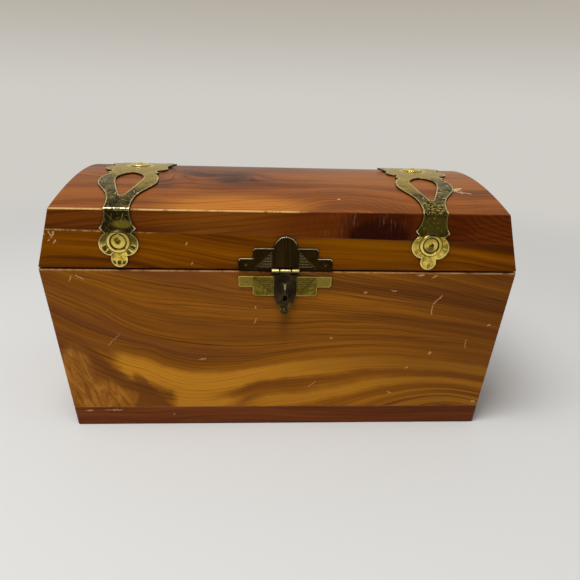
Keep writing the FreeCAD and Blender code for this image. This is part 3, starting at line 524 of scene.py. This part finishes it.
def front_wall_finish():
    """Grain that falls from the upper left, sags and arches over to the right, with a golden flame."""
    r, spot, (x, y, z) = new_finish("front wall cedar")
    sway = r.flat_noise(x, 0.03, z, 0.05, 1)
    layer = r.plus(front_layers(r, x, z), r.swing(sway, 1), r.times(r.minus(y, front_y), 0.35))
    grain = cedar(r, layer, x, y, 1.85, 0.72, tone(148, 89, 14), tone(108, 60, 12), tone(54, 24, 6),
                  (0.34, 0.68))
    blush = r.step(r.flat_noise(layer, 0.09, x, 0.006, 11), 0.42, 0.62)
    r.paint(tone(106, 57, 30), 0.42, blush, r.step(x, 10, -50))
    r.paint(tone(84, 42, 14), 0.4, r.step(x, 20, 110))
    drawn = r.flat_noise(x, 0.06, z, 0.09, 8, detail=3)
    loose_x = r.plus(x, r.swing(drawn, 6))
    loose = r.plus(layer, r.swing(drawn, 2.4))
    glow, lens = golden_flame(r, x, layer, loose_x, loose)
    warm = r.lay(tone(192, 128, 32), tone(112, 62, 10), 0.42, grain["Lines"])
    r.paint(r.shaded(warm, r.spread(grain["Fibre"], 1, 0.45)), glow)
    r.paint(cedar_red, 0.32, lens)
    feathered_corner(r, x, y, z, drawn, loose_x)
    # painted shadow of the hasp on the wood below it
    r.paint(cedar_dark, 0.4, r.patch(x, z, (latch_x, 60), (3, 8)))
    # painted shade: a dark patch where the lower end of the hasp's slot lies over the wood
    slot_shade = r.step(r.patch(x, z, (latch_x, 74.5), (2.4, 3.4)), 0.3, 0.7)
    r.paint(tone(26, 14, 6), 0.85, slot_shade)
    outside = r.times(near_front(r, y, 7, 3), 0.74)
    scratched(r, x, z, front_wall_scratches, outside, scratch_pale)
    lip = r.times(r.step(z, case_top_z - 1, case_top_z - 0.5), near_front(r, y, 2.1, 1.2))
    r.paint(tone(200, 152, 102), 0.55, lip, r.fray(x, 0.06, (4, 2), 0.4, 0.56))
    upper_edge = r.step(z, case_top_z - 1.5, case_top_z - 0.5)
    rubbed = r.top(r.times(upper_edge, 0.75), r.times(r.step(z, 4, 20), 0.45))
    return varnished(r, spot, grain, rubbed)


def lid_top_finish():
    """Plank with a smoky knot, a golden front strip and a dark knot that runs out at the front edge."""
    r, spot, (x, y, z) = new_finish("lid top cedar")
    facing = r.facing()
    dome = r.times(r.step(z, crease_z - 0.6, crease_z + 0.4), r.step(facing[2], 0.3, 0.6))
    edge = r.times(r.step(z, crease_z + 0.6, crease_z - 0.4), r.step(r.absolute(facing[1]), 0.5, 0.8))
    front = r.times(edge, near_front(r, y, 5, 2))
    sway = r.noise(r.point(r.times(x, 0.012), r.times(y, 0.012), r.times(z, 0.02)))
    ring = r.plus(z, r.times(y, 0.42), r.swing(sway, 7))
    ring = r.minus(ring, r.times(r.patch(x, y, (36, -68), (30, 24)), 16))
    ring = r.minus(ring, r.times(r.patch(x, y, (-38, -17), (28, 12)), 13))
    grain = cedar(r, ring, x, y, 2.3, 0.6, tone(147, 83, 34), tone(97, 49, 22), tone(50, 21, 9))
    loose = r.flat_noise(x, 0.035, y, 0.06, 4, detail=4, roughness=0.6, distortion=0.8)
    paint_dome(r, x, y, ring, sway, loose, dome, grain)
    paint_edge(r, x, z, loose, edge, front)
    top_side = r.times(dome, 0.95)
    scratched(r, x, y, lid_top_scratches, top_side, tone(232, 206, 160))
    glint = r.times(r.near(z, crease_z - 0.15, 0.5, 0.2), near_front(r, y, 1.4, 0.6))
    glint = r.times(glint, r.fray(x, 0.09, (7, 1), 0.34, 0.52), r.step(x, 14, 2))
    r.paint(tone(224, 180, 108), 0.75, glint)
    outside = near_front(r, y, 7, 3)
    crease = r.times(outside, r.step(x, 12, 2), r.step(z, 106, 112), 0.8)
    chips = r.times(outside, r.step(x, -84, -92), 0.35)
    wear = r.plus(r.top(crease, chips), 0.08)
    return varnished(r, spot, grain, wear, shine=0.34, coat=r.times(top_side, 0.52), gleam=0.02)


def paint_dome(r, x, y, ring, sway, loose, dome, grain):
    """The plank's upper side: arches at the front, a smoky knot, a golden strip and fine dark threads."""
    arch = r.distance(r.minus(x, 27), r.times(r.plus(y, 72), 1.25))
    arch = r.plus(arch, r.swing(sway, 7))
    turn = r.math("FRACT", r.times(arch, 0.28))
    arches = r.times(r.window(turn, 0.2, 0.8, 0.88, 1), r.step(arch, 46, 34))
    r.paint(tone(74, 30, 12), 0.5, arches)
    smoke_y = r.plus(y, r.swing(loose, 10))
    smoke = r.top(r.patch(x, smoke_y, (-36, -14), (25, 11)),
                  r.times(r.patch(x, smoke_y, (-22, -28), (17, 6)), 0.9),
                  r.times(r.patch(x, smoke_y, (-62, -34), (10, 16)), 0.6))
    wisps = r.flat_noise(x, 0.03, smoke_y, 0.22, 6, detail=3)
    r.paint(tone(54, 32, 32), 0.9, r.step(smoke, 0.1, 0.8), r.step(wisps, 0.28, 0.6))
    gold = r.step(r.patch(x, y, (-24, -61), (42, 12)), 0.2, 0.8)
    r.paint(tone(190, 118, 40), 0.85, gold, r.minus(1, r.times(grain["Lines"], 0.6)))
    r.paint(tone(168, 98, 36), 0.25, r.step(y, -40, -54))
    r.paint(tone(92, 48, 28), 0.4, r.step(y, -30, 10), r.step(x, 95, 40))
    threads = r.flat_noise(x, 0.012, r.plus(y, r.times(ring, 0.8)), 0.55, 3, detail=4, roughness=0.7)
    r.paint(tone(58, 24, 12), 0.42, dome, r.step(threads, 0.52, 0.66))
    r.paint(tone(184, 110, 42), 0.3, dome, r.step(x, -5, 45), r.step(y, -50, -30))


def paint_edge(r, x, z, loose, edge, front):
    """The plank's edge: olive brown at the left, then red, a black knot, and sweeping arcs at the right."""
    fine = r.flat_noise(x, 0.012, r.minus(z, r.times(x, 0.1)), 0.55, 2, detail=3, roughness=0.65)
    streaks = r.mix(r.step(fine, 0.34, 0.64), tone(66, 27, 1), tone(112, 56, 2))
    r.paint(streaks, 0.8, edge)
    r.paint(tone(92, 34, 3), 0.6, front, r.step(x, -25, 15))
    r.paint(tone(66, 26, 10), 0.6, front, r.step(z, 112, 106), r.step(x, -45, -70))
    drag = r.plus(x, r.swing(loose, 6))
    torn = r.flat_noise(x, 0.22, z, 0.3, 9, detail=4, roughness=0.65)
    knot = r.plus(r.patch(drag, z, (48, 103.5), (16, 11)), r.swing(torn, 0.22))
    halo = r.patch(drag, z, (48, 108), (21, 15))
    r.paint(tone(56, 15, 4), 0.75, front, r.step(halo, 0.15, 0.6))
    r.paint(tone(34, 9, 4), 0.8, front, r.step(knot, 0.26, 0.52))
    scrape = r.flat_noise(x, 0.9, z, 0.1, 3, detail=4, roughness=0.7)
    band = r.top(r.patch(x, z, (34.5, 112), (1.6, 7)),
                 r.times(r.patch(x, z, (24, 111), (9, 6)), 0.5),
                 r.times(r.patch(x, z, (52, 113), (7, 4)), 0.6))
    r.paint(tone(170, 124, 92), 0.38, front, band, r.step(scrape, 0.52, 0.66))
    r.paint(tone(64, 20, 2), 0.45, front, r.window(x, 78, 84, 86, 102))
    arcs = r.distance(r.minus(x, 122), r.times(r.minus(z, 122), 2.3))
    arcs = r.math("SINE", r.times(r.plus(arcs, r.swing(loose, 9)), 1.3))
    r.paint(tone(54, 18, 3), 0.42, front, r.step(arcs, -0.4, 1), r.step(x, 78, 84))


def lid_rail_finish():
    """Front rail of the lid: golden streaks that fall to the right, a dark end and a rubbed joint."""
    r, spot, (x, y, z) = new_finish("lid front rail cedar")
    fall = r.path(x, [(-125, 2), (-92, 2), (-70, 5), (-45, 10), (-20, 14), (0, 15.5), (40, 16.5), (70, 18),
                      (125, 25)], 30)
    sway = r.flat_noise(x, 0.03, z, 0.06, 3)
    ring = r.times(r.plus(z, fall, r.swing(sway, 1.6), r.times(y, 0.6)), 1.7)
    grain = cedar(r, ring, x, y, 3.1, 0.45, tone(131, 73, 1), tone(88, 42, 1), tone(50, 20, 1), (0.38, 0.64))
    dark_end = r.step(r.minus(r.plus(z, r.times(x, 0.11)), 110.5), -1.5, 1.5)
    r.paint(tone(64, 26, 6), 0.7, dark_end, r.step(x, 74, 84))
    r.paint(tone(80, 38, 6), 0.35, r.step(z, 95, 88))
    r.paint(tone(144, 90, 1), 0.5, r.patch(x, z, (46, 101.5), (30, 4)))
    scratched(r, x, z, lid_rail_scratches, 0.8, scratch_pale)
    under_joint = r.minus(r.math("MULTIPLY_ADD", x, -glue_line_fall, glue_line_z), z)
    rubbed = r.times(r.step(under_joint, 0.8, 0.4), r.step(x, -60, -70))
    r.paint(tone(206, 158, 104), 0.55, rubbed, r.fray(x, 0.16, (5, 2), 0.42, 0.56))
    return varnished(r, spot, grain, 0.05, gleam=0.02)


# Brass finishes

brass_bright = (0.9, 0.66, 0.095, 1.0)
brass_gold = (0.68, 0.48, 0.055, 1.0)
brass_dull = (0.3, 0.215, 0.045, 1.0)
brass_dark = (0.014, 0.009, 0.002, 1.0)
brass_grime_and_shade = (0.022, 0.014, 0.004, 1.0)
brass_olive = (0.12, 0.09, 0.016, 1.0)
brass_pale = (0.92, 0.74, 0.28, 1.0)
brass_rim = (0.95, 0.8, 0.4, 1.0)
knuckle_highlight_brass = (0.8, 0.62, 0.26, 1.0)


def metal(r, spot, rough, radius=1.1, wear=0.85, edge_tone=brass_bright, dirt=0.8,
          rim=(0.02, 0.12, 1), upward=False, dry=0, matte=None):
    """Metal with dirty corners and edges painted bright as rubbed wear and as highlights; when upward is set,
    only edges that face up, as painted highlights; dry edges and matte places are less metallic.
    """
    open_air = r.node("AmbientOcclusion", {"Distance": 1.6 * mm}, samples=8, only_local=True).outputs["AO"]
    hollow = r.step(open_air, 0.94, 0.6)
    r.paint(brass_grime_and_shade, dirt, hollow)
    low, high, broken = rim
    edge = r.group(edge_wear, {"Place": spot, "Radius": radius, "Low": low, "High": high, "Broken": broken})
    # bright edges: rubbed wear and painted highlights; the upward mask keeps painted highlights on edges that
    # face up
    worn = r.times(edge["Upward" if upward else "Mask"], r.minus(1, hollow), wear)
    r.paint(edge_tone, worn)
    rough = r.plus(r.minus(rough, r.times(worn, 0.06)), r.times(hollow, 0.15))
    soft = r.node("Bevel", {"Radius": 0.45 * mm}, samples=8).outputs[0]
    gloss = r.minus(1, r.times(worn, dry)) if dry else 1
    if matte:
        gloss = r.minus(gloss, matte)
    look = {"Base Color": r.colour, "Roughness": rough, "Normal": soft, "Metallic": gloss}
    return close_finish(r, r.node("BsdfPrincipled", look))


def strap_finish(name, middle_x, lean, outer, end, olive, fold):
    """Stamped brass: gold ends, black necks, cloudy olive on top, edges rubbed bright and painted as
    highlights; a painted highlight on the fold and painted shade on the side walls, the far edge of the
    opening and the ear tips.
    """
    r, spot, (x, y, z) = new_finish(name)
    side = r.absolute(y)
    across = r.minus(x, r.math("MULTIPLY_ADD", y, lean, middle_x))
    wide = r.absolute(across)
    sheet = r.point(across, r.times(r.step(y, -5, 5), 40), r.minus(z, side))

    low = r.step(z, 107.2, 105.8)
    above = r.step(z, crease_z - 0.4, crease_z + 0.4)
    neck = r.minus(r.minus(1, low), above)
    ragged = r.noise(spot, scale=0.12, detail=4, roughness=0.65)
    arm = r.times(r.step(r.times(across, outer), 2, 7), 20)
    reach = r.plus(side, arm, r.swing(ragged, 22))
    belly = r.times(above, r.step(reach, 40, 54))
    roof = r.minus(above, belly)
    crown = r.times(r.step(r.squared_distance(across, y), 72, 50), above)
    wall = r.times(r.step(r.facing()[2], 0.6, 0.3), above)
    tip = r.times(r.step(r.times(across, -outer), 15.6, 16.4), r.step(side, 6, 5))

    amount = r.plus(r.times(low, 0.3), r.times(neck, 0.95), r.times(belly, 0.6), r.times(roof, 0.3))
    cover = r.group(tarnish, {"Place": sheet, "Amount": amount})
    cloud = cover["Cloud"]
    r.colour = r.mix(r.step(cloud, 0.35, 0.65), brass_bright, brass_gold)
    r.paint(strap_crust(r, across, z, cloud, belly, roof, olive), 0.99, cover["Mask"])
    strap_end(r, across, z, low, cloud, **end)
    marked = r.minus(0.42, r.times(neck, 0.38 - 0.16 * fold))
    r.paint(brass_pale, marked, cover["Scratches"])
    finer = r.point(r.times(across, 1.25), 70, r.times(side, 1.25))
    finer = r.times(r.group(tarnish, {"Place": finer})["Scratches"], belly)
    r.paint(brass_pale, 0.75, finer)
    # painted highlight across the fold, broken up by dark chatter
    fold_highlight = r.window(z, crease_z - 0.7, crease_z - 0.1, crease_z + 0.7, crease_z + 1.2)
    fold_highlight = r.times(fold_highlight, r.step(side, 63, 64.2))
    chatter = r.flat_noise(across, 0.7, z, 0.9, 2, detail=3)
    r.paint((0.86, 0.78, 0.56, 1.0), 0.5 * fold, fold_highlight, r.step(chatter, 0.36, 0.56))
    r.paint(brass_grime_and_shade, 0.8 * fold, fold_highlight, r.step(chatter, 0.5, 0.42))
    flecks = r.flat_noise(across, 0.8, z, 0.8, 3, detail=3, roughness=0.7)
    r.paint(brass_gold, 0.5 - 0.4 * fold, neck, r.step(flecks, 0.6, 0.68))
    fold_band = r.times(above, r.step(side, 54.5, 57))
    r.paint(brass_grime_and_shade, 0.6 - 0.3 * fold, fold_band)
    curls = r.flat_noise(across, 0.45, y, 0.7, 7, detail=1, distortion=0.6)
    curls = r.times(fold_band, r.near(curls, 0.5, 0.06, 0.02))
    r.paint((0.86, 0.64, 0.13, 1.0), 0.8 - 0.6 * fold, curls)
    speck = r.spread(r.noise(sheet, scale=1.2, detail=3, roughness=0.7), 1, 0.5)
    r.paint(r.shaded(r.colour, speck), above)
    r.paint((0.78, 0.61, 0.15, 1.0), 0.85, crown)
    # the strap's side walls on top are painted dark as shade
    r.paint(brass_dark, 0.9, wall)
    # the inner ear tips are painted dark as shade
    r.paint((0.034, 0.026, 0.011, 1.0), 0.96, tip)

    rough = r.minus(r.spread(cloud, 0.27, 0.12), r.times(low, 0.06))
    bare = r.minus(1, r.times(r.top(tip, wall), 0.95))
    wear = r.times(strap_wear_and_highlights(r, across, wide, z, low, neck, above), bare)
    # the far edge of the opening is painted dark as shade
    far_edge_shade = r.times(r.window(side, 17, 19, 28, 31), r.step(wide, 7.9, 6.8))
    edge_tone = r.mix(low, brass_rim, (1.0, 0.82, 0.36, 1.0))
    edge_tone = r.lay(edge_tone, brass_dark, 0.7, far_edge_shade)
    dirt = r.minus(0.8, r.times(crown, 0.6))
    dry = r.plus(r.times(above, 0.6), r.times(low, 0.25))
    matte = r.top(r.times(crown, 0.4), r.times(finer, 0.45), r.times(curls, 0.36 - 0.32 * fold))
    rim = (0.012, 0.055, 0.4)
    return metal(r, spot, rough, radius=1.2, wear=wear, edge_tone=edge_tone, dirt=dirt, rim=rim, dry=dry,
                 matte=matte)


def strap_crust(r, across, z, cloud, belly, roof, olive):
    """Tarnish of a strap: black with an olive spill on the neck, cloudy on the belly, khaki on the roof."""
    black = r.mix(r.step(cloud, 0.52, 0.7), brass_dark, (0.04, 0.032, 0.006, 1.0))
    place, reach, share = olive
    spill = r.step(r.patch(across, z, place, reach), 0.25, 0.8)
    black = r.lay(black, (0.19, 0.145, 0.02, 1.0), share, spill)
    cloudy = r.mix(r.step(cloud, 0.42, 0.58), (0.05, 0.04, 0.018, 1.0), (0.36, 0.3, 0.11, 1.0))
    khaki = r.mix(r.step(cloud, 0.38, 0.58), brass_olive, (0.56, 0.44, 0.14, 1.0))
    return r.mix(belly, r.mix(roof, black, khaki), cloudy)


def strap_wear_and_highlights(r, across, wide, z, low, neck, above):
    """How bright the edges of a strap are, as wear and painted highlights: most on top, at the thorns and
    around the lobes.
    """
    outside = r.step(r.squared_distance(across, r.minus(z, ring_z)), 37, 42)
    # the lower edges of the lobes are painted brighter, a painted reflection of the floor
    lobes = r.times(low, outside, r.plus(0.4, r.times(r.step(z, 103, 100.5), 0.58)))
    # painted glints along the edges of the thorns
    thorns = r.times(r.window(z, 107, 107.6, 109.4, 110.2), r.step(wide, 5.6, 6.6), 0.98)
    return r.top(r.plus(r.times(above, 0.92), lobes, r.times(neck, 0.22)), thorns)


def strap_end(r, across, z, low, cloud, soot, cup_shade, glint):
    """Three-lobed end of a strap: ring and cup, grooves darkened with grime and painted shade, stamped cells
    with bright ribs.
    """
    up = r.minus(z, ring_z)
    wide = r.absolute(across)
    far = r.distance(across, up)

    def dab(place, reach):
        return r.step(r.patch(across, up, place, reach), 0.2, 0.8)

    lobe_tone = r.mix(r.step(cloud, 0.4, 0.62), (0.022, 0.016, 0.005, 1.0), (0.12, 0.092, 0.02, 1.0))
    r.paint(lobe_tone, soot, low, r.step(far, 5.5, 6.1), r.step(up, -3.4, 0.6))
    sway = r.flat_noise(across, 0.5, up, 0.5, 4)
    turn = r.plus(r.math("ARCTAN2", up, r.times(wide, -1)), r.swing(sway, 0.14))
    spokes = r.absolute(r.math("SINE", r.math("MULTIPLY_ADD", turn, 8, math.radians(60))))
    bars = r.absolute(r.math("SINE", r.times(r.minus(across, 1.15), math.pi / 2.5)))
    side_cells = r.times(r.window(far, 5.9, 6.3, 8.2, 8.9), r.step(up, -1.2, -2), r.step(wide, 2.5, 3.2))
    foot_cells = r.window(up, -11.9, -11.3, -9.8, -9.2)
    ribs = r.plus(r.times(side_cells, spokes), r.times(foot_cells, bars))
    cells = r.times(low, r.top(side_cells, foot_cells))
    r.paint(brass_dark, soot, cells, r.step(ribs, 0.22, 0.5))
    r.paint(brass_pale, 0.7, cells, r.step(ribs, 0.22, 0.08))
    lit = r.step(r.plus(r.times(across, 0.5), up), 2.2, -2.6)
    ring_tone = r.mix(lit, (0.6, 0.46, 0.1, 1.0), (0.97, 0.76, 0.2, 1.0))
    r.paint(ring_tone, 0.85, low, r.window(far, 4, 4.3, 5.5, 5.75))
    cup = r.times(low, r.step(far, 3.8, 3.5))
    r.paint((0.8, 0.6, 0.115, 1.0), 0.8, cup)
    place, reach, share = cup_shade
    r.paint((0.055, 0.044, 0.01, 1.0), share, cup, dab(place, reach))
    r.paint(brass_pale, 0.8, cup, dab(glint, (1.1, 0.9)))
    r.paint(brass_dark, soot * 0.8, low, dab((2.9, -3.3), (1, 0.8)))
    # grooves around the cup and the ring darkened with grime and painted shade
    r.paint(brass_grime_and_shade, 0.88, low, r.near(far, 3.92, 0.45, 0.18))
    r.paint(brass_grime_and_shade, 0.7, low, r.near(far, 5.8, 0.4, 0.12))


def stamped_plate(r, x, z, start, way, smooth, hatched):
    """Paints a latch plate, hatched on both sides; gives its tarnish and the distance from its tongue."""
    cover = r.group(tarnish, {"Place": r.point(x, 0, z), "Amount": 0.40})
    out = r.minus(r.absolute(r.minus(x, latch_x)), 6.6)
    corner = r.group(hatched_corner, {"Out": out, "Up": r.times(r.minus(z, start), way)})
    face = r.mix(cover["Mask"], *smooth)
    cross = r.mix(corner["Lines"], *hatched)
    r.colour = r.mix(corner["Mask"], face, cross)
    return cover, out


def case_plate_finish():
    """Olive plate with bright edges, and painted shade where the hasp covers it."""
    r, spot, (x, y, z) = new_finish("case plate brass")
    smooth = ((0.235, 0.165, 0.024, 1.0), (0.098, 0.066, 0.009, 1.0))
    hatched = ((0.14, 0.098, 0.016, 1.0), (0.055, 0.038, 0.006, 1.0))
    cover, out = stamped_plate(r, x, z, start=84.2, way=-1, smooth=smooth, hatched=hatched)
    r.paint((0.3, 0.22, 0.048, 1.0), 0.5, r.step(out, 9.2, 9.8))
    r.paint(brass_gold, 0.2, cover["Scratches"])
    under_hasp_shade = r.patch(x, z, (latch_x, 79), (5, 9))
    # painted shade on the plate where the hasp covers it
    r.paint(brass_grime_and_shade, r.step(under_hasp_shade, 0.3, 0.6))
    rough = r.spread(cover["Cloud"], 0.3, 0.1)
    return metal(r, spot, rough, radius=1, edge_tone=brass_gold, rim=(0.02, 0.09, 0.7), dry=0.4)


def lid_plate_finish():
    """Nearly black plate with a streaked tongue, and painted highlights on its barrel and on the edges that
    face up.
    """
    r, spot, (x, y, z) = new_finish("lid plate bronze")
    smooth = ((0.034, 0.018, 0.004, 1.0), (0.018, 0.009, 0.002, 1.0))
    hatched = ((0.066, 0.046, 0.012, 1.0), (0.026, 0.016, 0.004, 1.0))
    cover, out = stamped_plate(r, x, z, start=89.5, way=1, smooth=smooth, hatched=hatched)
    strokes = r.noise(r.point(r.times(x, 0.8), 4, r.times(z, 0.05)))
    tongue = r.mix(r.step(strokes, 0.38, 0.62), (0.019, 0.011, 0.003, 1.0), (0.036, 0.02, 0.005, 1.0))
    r.paint(tongue, r.step(out, -0.2, -0.6))
    # painted highlight on the upper half of the barrel
    r.paint(knuckle_highlight_brass, knuckle_highlight_mask(r, x, y, z))
    # painted highlights on the edges that face up, strongest on the outer wings and along the top
    wear = r.plus(0.62, r.times(r.step(out, 9, 10), 0.38))
    wear = r.top(wear, r.times(r.step(z, 100, 102), 0.9))
    rough = r.spread(cover["Cloud"], 0.32, 0.1)
    return metal(r, spot, rough, radius=0.9, wear=wear, edge_tone=(1.0, 0.86, 0.54, 1.0),
                 rim=(0.025, 0.085, 0.35), upward=True, dry=0.5)


def knuckle_highlight_mask(r, x, y, z):
    """The upper half of the barrel, which gets a painted highlight."""
    off_x = r.absolute(r.minus(x, latch_x))
    off_z = r.minus(z, barrel_z)
    far = r.distance(off_z, r.minus(y, barrel_y))
    joint = r.step(r.absolute(r.minus(off_x, 2.9)), 0.3, 0.55)
    return r.times(r.step(far, 1.6, 1.35), r.step(off_z, -0.1, 0.4), r.step(off_x, 7, 6.8), joint)


def aged_brass_finish(name, amount, deep=brass_dull, lift=0.3, clean=brass_gold, wear=0.85, gold_above=None):
    """Cast or turned brass with some tarnish; above the given height it is a clean but dull gold."""
    r, spot, (x, y, z) = new_finish(name)
    cover = r.group(tarnish, {"Place": spot, "Amount": amount})
    r.colour = r.mix(r.times(cover["Mask"], 0.9), clean, deep)
    r.paint(brass_bright, 0.3 * wear, cover["Scratches"])
    rough = r.spread(cover["Cloud"], lift, 0.12)
    matte = None
    if gold_above:
        gold = r.step(z, gold_above - 1, gold_above)
        r.paint((0.56, 0.44, 0.13, 1.0), gold)
        rough = r.plus(rough, r.times(gold, 0.28))
        matte = r.times(gold, 0.4)
    return metal(r, spot, rough, wear=wear, matte=matte)


def hasp_finish():
    """Brass gone nearly black, green-gold where the swelling ends above the bead."""
    r, spot, (x, y, z) = new_finish("hasp bronze")
    cover = r.group(tarnish, {"Place": r.point(x, 0, z), "Amount": 0.46})
    r.colour = r.mix(cover["Mask"], (0.072, 0.048, 0.026, 1.0), (0.018, 0.011, 0.006, 1.0))
    rub = r.times(r.window(z, 66, 68, 70, 73.5), r.step(cover["Cloud"], 0.45, 0.6))
    r.paint(brass_olive, rub)
    r.paint(brass_dull, 0.12, cover["Scratches"])
    # painted highlight on the upper half of the hasp's barrel
    r.paint(knuckle_highlight_brass, knuckle_highlight_mask(r, x, y, z))
    return metal(r, spot, r.spread(cover["Cloud"], 0.24, 0.1), radius=0.8, wear=0.3, edge_tone=brass_dull)


def catch_finish():
    """Dark lug in the slot of the hasp, with a painted highlight across its middle."""
    r, spot, (x, y, z) = new_finish("catch bronze")
    cover = r.group(tarnish, {"Place": spot, "Amount": 0.48})
    dull = r.mix(cover["Mask"], (0.1, 0.085, 0.065, 1.0), (0.03, 0.024, 0.018, 1.0))
    # painted highlight across the middle of the lug
    r.colour = r.mix(r.window(z, 77.6, 78.6, 80.7, 81.3), dull, (0.3, 0.26, 0.2, 1.0))
    return metal(r, spot, r.spread(cover["Cloud"], 0.24, 0.12), wear=0.15)


def steel_finish(name, dull, clean):
    r, spot, (x, y, z) = new_finish(name)
    grain = r.noise(spot, scale=0.8, detail=3)
    r.colour = r.mix(grain, (dull, dull, dull * 0.96, 1), (clean, clean, clean * 0.96, 1))
    return metal(r, spot, r.spread(grain, 0.34, 0.1), wear=0.3, edge_tone=(clean, clean, clean, 1))


# Which piece gets which finish

def put(finish, *names):
    for name in names:
        piece = pieces[name]
        piece.data.materials.clear()
        piece.data.materials.append(finish)


put(front_wall_finish(), "front_wall")
put(lid_top_finish(), "lid_top_board")
put(lid_rail_finish(), "lid_front_rail")
put(plain_board("back wall cedar", "xzy", heart=(34, 96)), "back_wall")
put(plain_board("left end cedar", "yzx", heart=(20, -150), pale=tone(146, 84, 34)), "left_end_wall")
put(plain_board("right end cedar", "yzx", heart=(66, 148), pale=tone(140, 80, 32)), "right_end_wall")
put(plain_board("base board cedar", "xyz", heart=(-30, -46), spacing=1.9, pale=tone(116, 60, 24),
                brown=tone(88, 42, 18), scratches=base_scratches), "base_board")
put(plain_board("lid back rail cedar", "xzy", heart=(60, 110)), "lid_back_rail")
put(plain_board("lid left rail cedar", "yzx", heart=(70, -170)), "lid_left_rail")
put(plain_board("lid right rail cedar", "yzx", heart=(70, 170)), "lid_right_rail")

left_end = {"soot": 0.9, "cup_shade": ((-0.2, 0.9), (2.0, 1.5), 0.9), "glint": (1.5, 1.8)}
right_end = {"soot": 0.3, "cup_shade": ((-0.6, -1.9), (2.9, 1.6), 0.85), "glint": (1.3, 1.2)}
put(strap_finish("left strap brass", middle_x=-80.2, lean=0.0, outer=-1.0, end=left_end,
                 olive=((2.4, 110.6), (5.6, 2.5), 0.8), fold=1.0), "left_strap")
put(strap_finish("right strap brass", middle_x=78.38, lean=0.0759, outer=1.0, end=right_end,
                 olive=((1.0, 112.0), (11.0, 6.5), 0.24), fold=0.0), "right_strap")
put(aged_brass_finish("nail brass", amount=0.6, deep=brass_dark, wear=0.35, gold_above=125.0),
    "left_strap_nails", "right_strap_nails")

put(case_plate_finish(), "latch_case_plate")
put(lid_plate_finish(), "latch_lid_plate")
put(aged_brass_finish("case tack brass", amount=0.5, deep=(0.12, 0.085, 0.015, 1.0), clean=brass_dull,
                      wear=0.3), "latch_case_tacks")
put(aged_brass_finish("lid tack bronze", amount=0.7, deep=(0.016, 0.009, 0.003, 1.0), lift=0.38,
                      clean=(0.03, 0.018, 0.005, 1.0), wear=0.05), "latch_lid_tacks")
put(catch_finish(), "latch_catch")
put(hasp_finish(), "latch_hasp")
put(steel_finish("oily steel", dull=0.06, clean=0.14), "latch_hasp_pin")

put(aged_brass_finish("hinge brass", amount=0.4, clean=(0.56, 0.43, 0.15, 1.0)),
    "left_hinge_case_leaf", "left_hinge_lid_leaf", "right_hinge_case_leaf", "right_hinge_lid_leaf",
    "hinge_case_screws", "hinge_lid_screws")
put(steel_finish("steel", dull=0.37, clean=0.54), "left_hinge_pin", "right_hinge_pin", "base_brads")


# Floor, light and camera

wall_grey = tone(208, 205, 199)


def shown_ray(r):
    """1 for light that reaches the camera straight, from a mirror or through glass."""
    path = r.node("LightPath").outputs
    return r.top(path["Is Camera Ray"], path["Is Glossy Ray"], path["Is Transmission Ray"])


def pale_floor():
    """Floor that takes the box's shadow and turns into the grey of the wall further out."""
    fade_start = 220.0
    fade_end = 750.0
    bpy.ops.object.select_all(action="DESELECT")
    bpy.ops.mesh.primitive_plane_add(size=12.0)
    floor = bpy.context.object
    floor.name = "floor"
    r, spot, (x, y, z) = new_finish("pale floor")
    lit = r.node("BsdfDiffuse", {"Color": (0.68, 0.68, 0.665, 1.0)})
    plain = r.node("Emission", {"Color": wall_grey})
    far_out = r.times(r.step(r.distance(x, y), fade_start, fade_end), shown_ray(r))
    both = r.node("MixShader", {0: far_out, 1: lit.outputs[0], 2: plain.outputs[0]})
    floor.data.materials.append(close_finish(r, both))


def studio_world():
    """Even light from all sides, with a grey wall to look at and a dark ceiling for the metal to mirror."""
    world = bpy.data.worlds.new("studio")
    bpy.context.scene.world = world
    world.use_nodes = True
    world.node_tree.nodes.clear()
    r = Recipe(world.node_tree)
    height = r.split(r.node("TexCoord").outputs["Generated"])[2]
    wall = r.mix(r.step(height, -0.03, 0.16), wall_grey, tone(180, 173, 161))
    wall = r.mix(r.step(height, 0.42, 0.85), wall, tone(92, 86, 78))
    light = r.node("Background", {"Color": (1.0, 0.985, 0.96, 1.0), "Strength": 0.42})
    behind = r.node("Background", {"Color": wall, "Strength": 1.0})
    both = r.node("MixShader", {0: shown_ray(r), 1: light.outputs[0], 2: behind.outputs[0]})
    r.node("OutputWorld", {"Surface": both.outputs[0]})


def soft_lamp(name, place, aim, size, power):
    lamp = bpy.data.lights.new(name, "AREA")
    lamp.shape = "SQUARE"
    lamp.size = size
    lamp.energy = power
    holder = bpy.data.objects.new(name, lamp)
    bpy.context.scene.collection.objects.link(holder)
    holder.location = place
    holder.rotation_euler = (Vector(aim) - Vector(place)).to_track_quat("-Z", "Y").to_euler()


def viewing_camera():
    """Camera in front of the box, a little left of its middle and looking down on it; angles in radians."""
    place = Vector((-14.777, -342.488, 173.602)) * mm
    pitch = 0.332685
    yaw = 0.066239
    roll = 0.028971
    ahead = Vector((math.sin(yaw) * math.cos(pitch), math.cos(yaw) * math.cos(pitch), -math.sin(pitch)))
    level = Vector((math.cos(yaw), -math.sin(yaw), 0.0))
    up = level.cross(ahead)
    across = level * math.cos(roll) + up * math.sin(roll)
    upward = up * math.cos(roll) - level * math.sin(roll)
    lens = bpy.data.cameras.new("camera")
    lens.lens = 36.0
    lens.sensor_width = 36.0
    lens.clip_start = 0.01
    camera = bpy.data.objects.new("camera", lens)
    bpy.context.scene.collection.objects.link(camera)
    turn = Matrix((across, upward, -ahead)).transposed().to_4x4()
    camera.matrix_world = Matrix.Translation(place) @ turn
    bpy.context.scene.camera = camera


pale_floor()
studio_world()
soft_lamp("overhead softbox", place=(-0.32, -0.35, 1.1), aim=(0.0, 0.0, 0.06), size=0.7, power=11.0)
viewing_camera()
bpy.context.scene.view_settings.view_transform = "Standard"
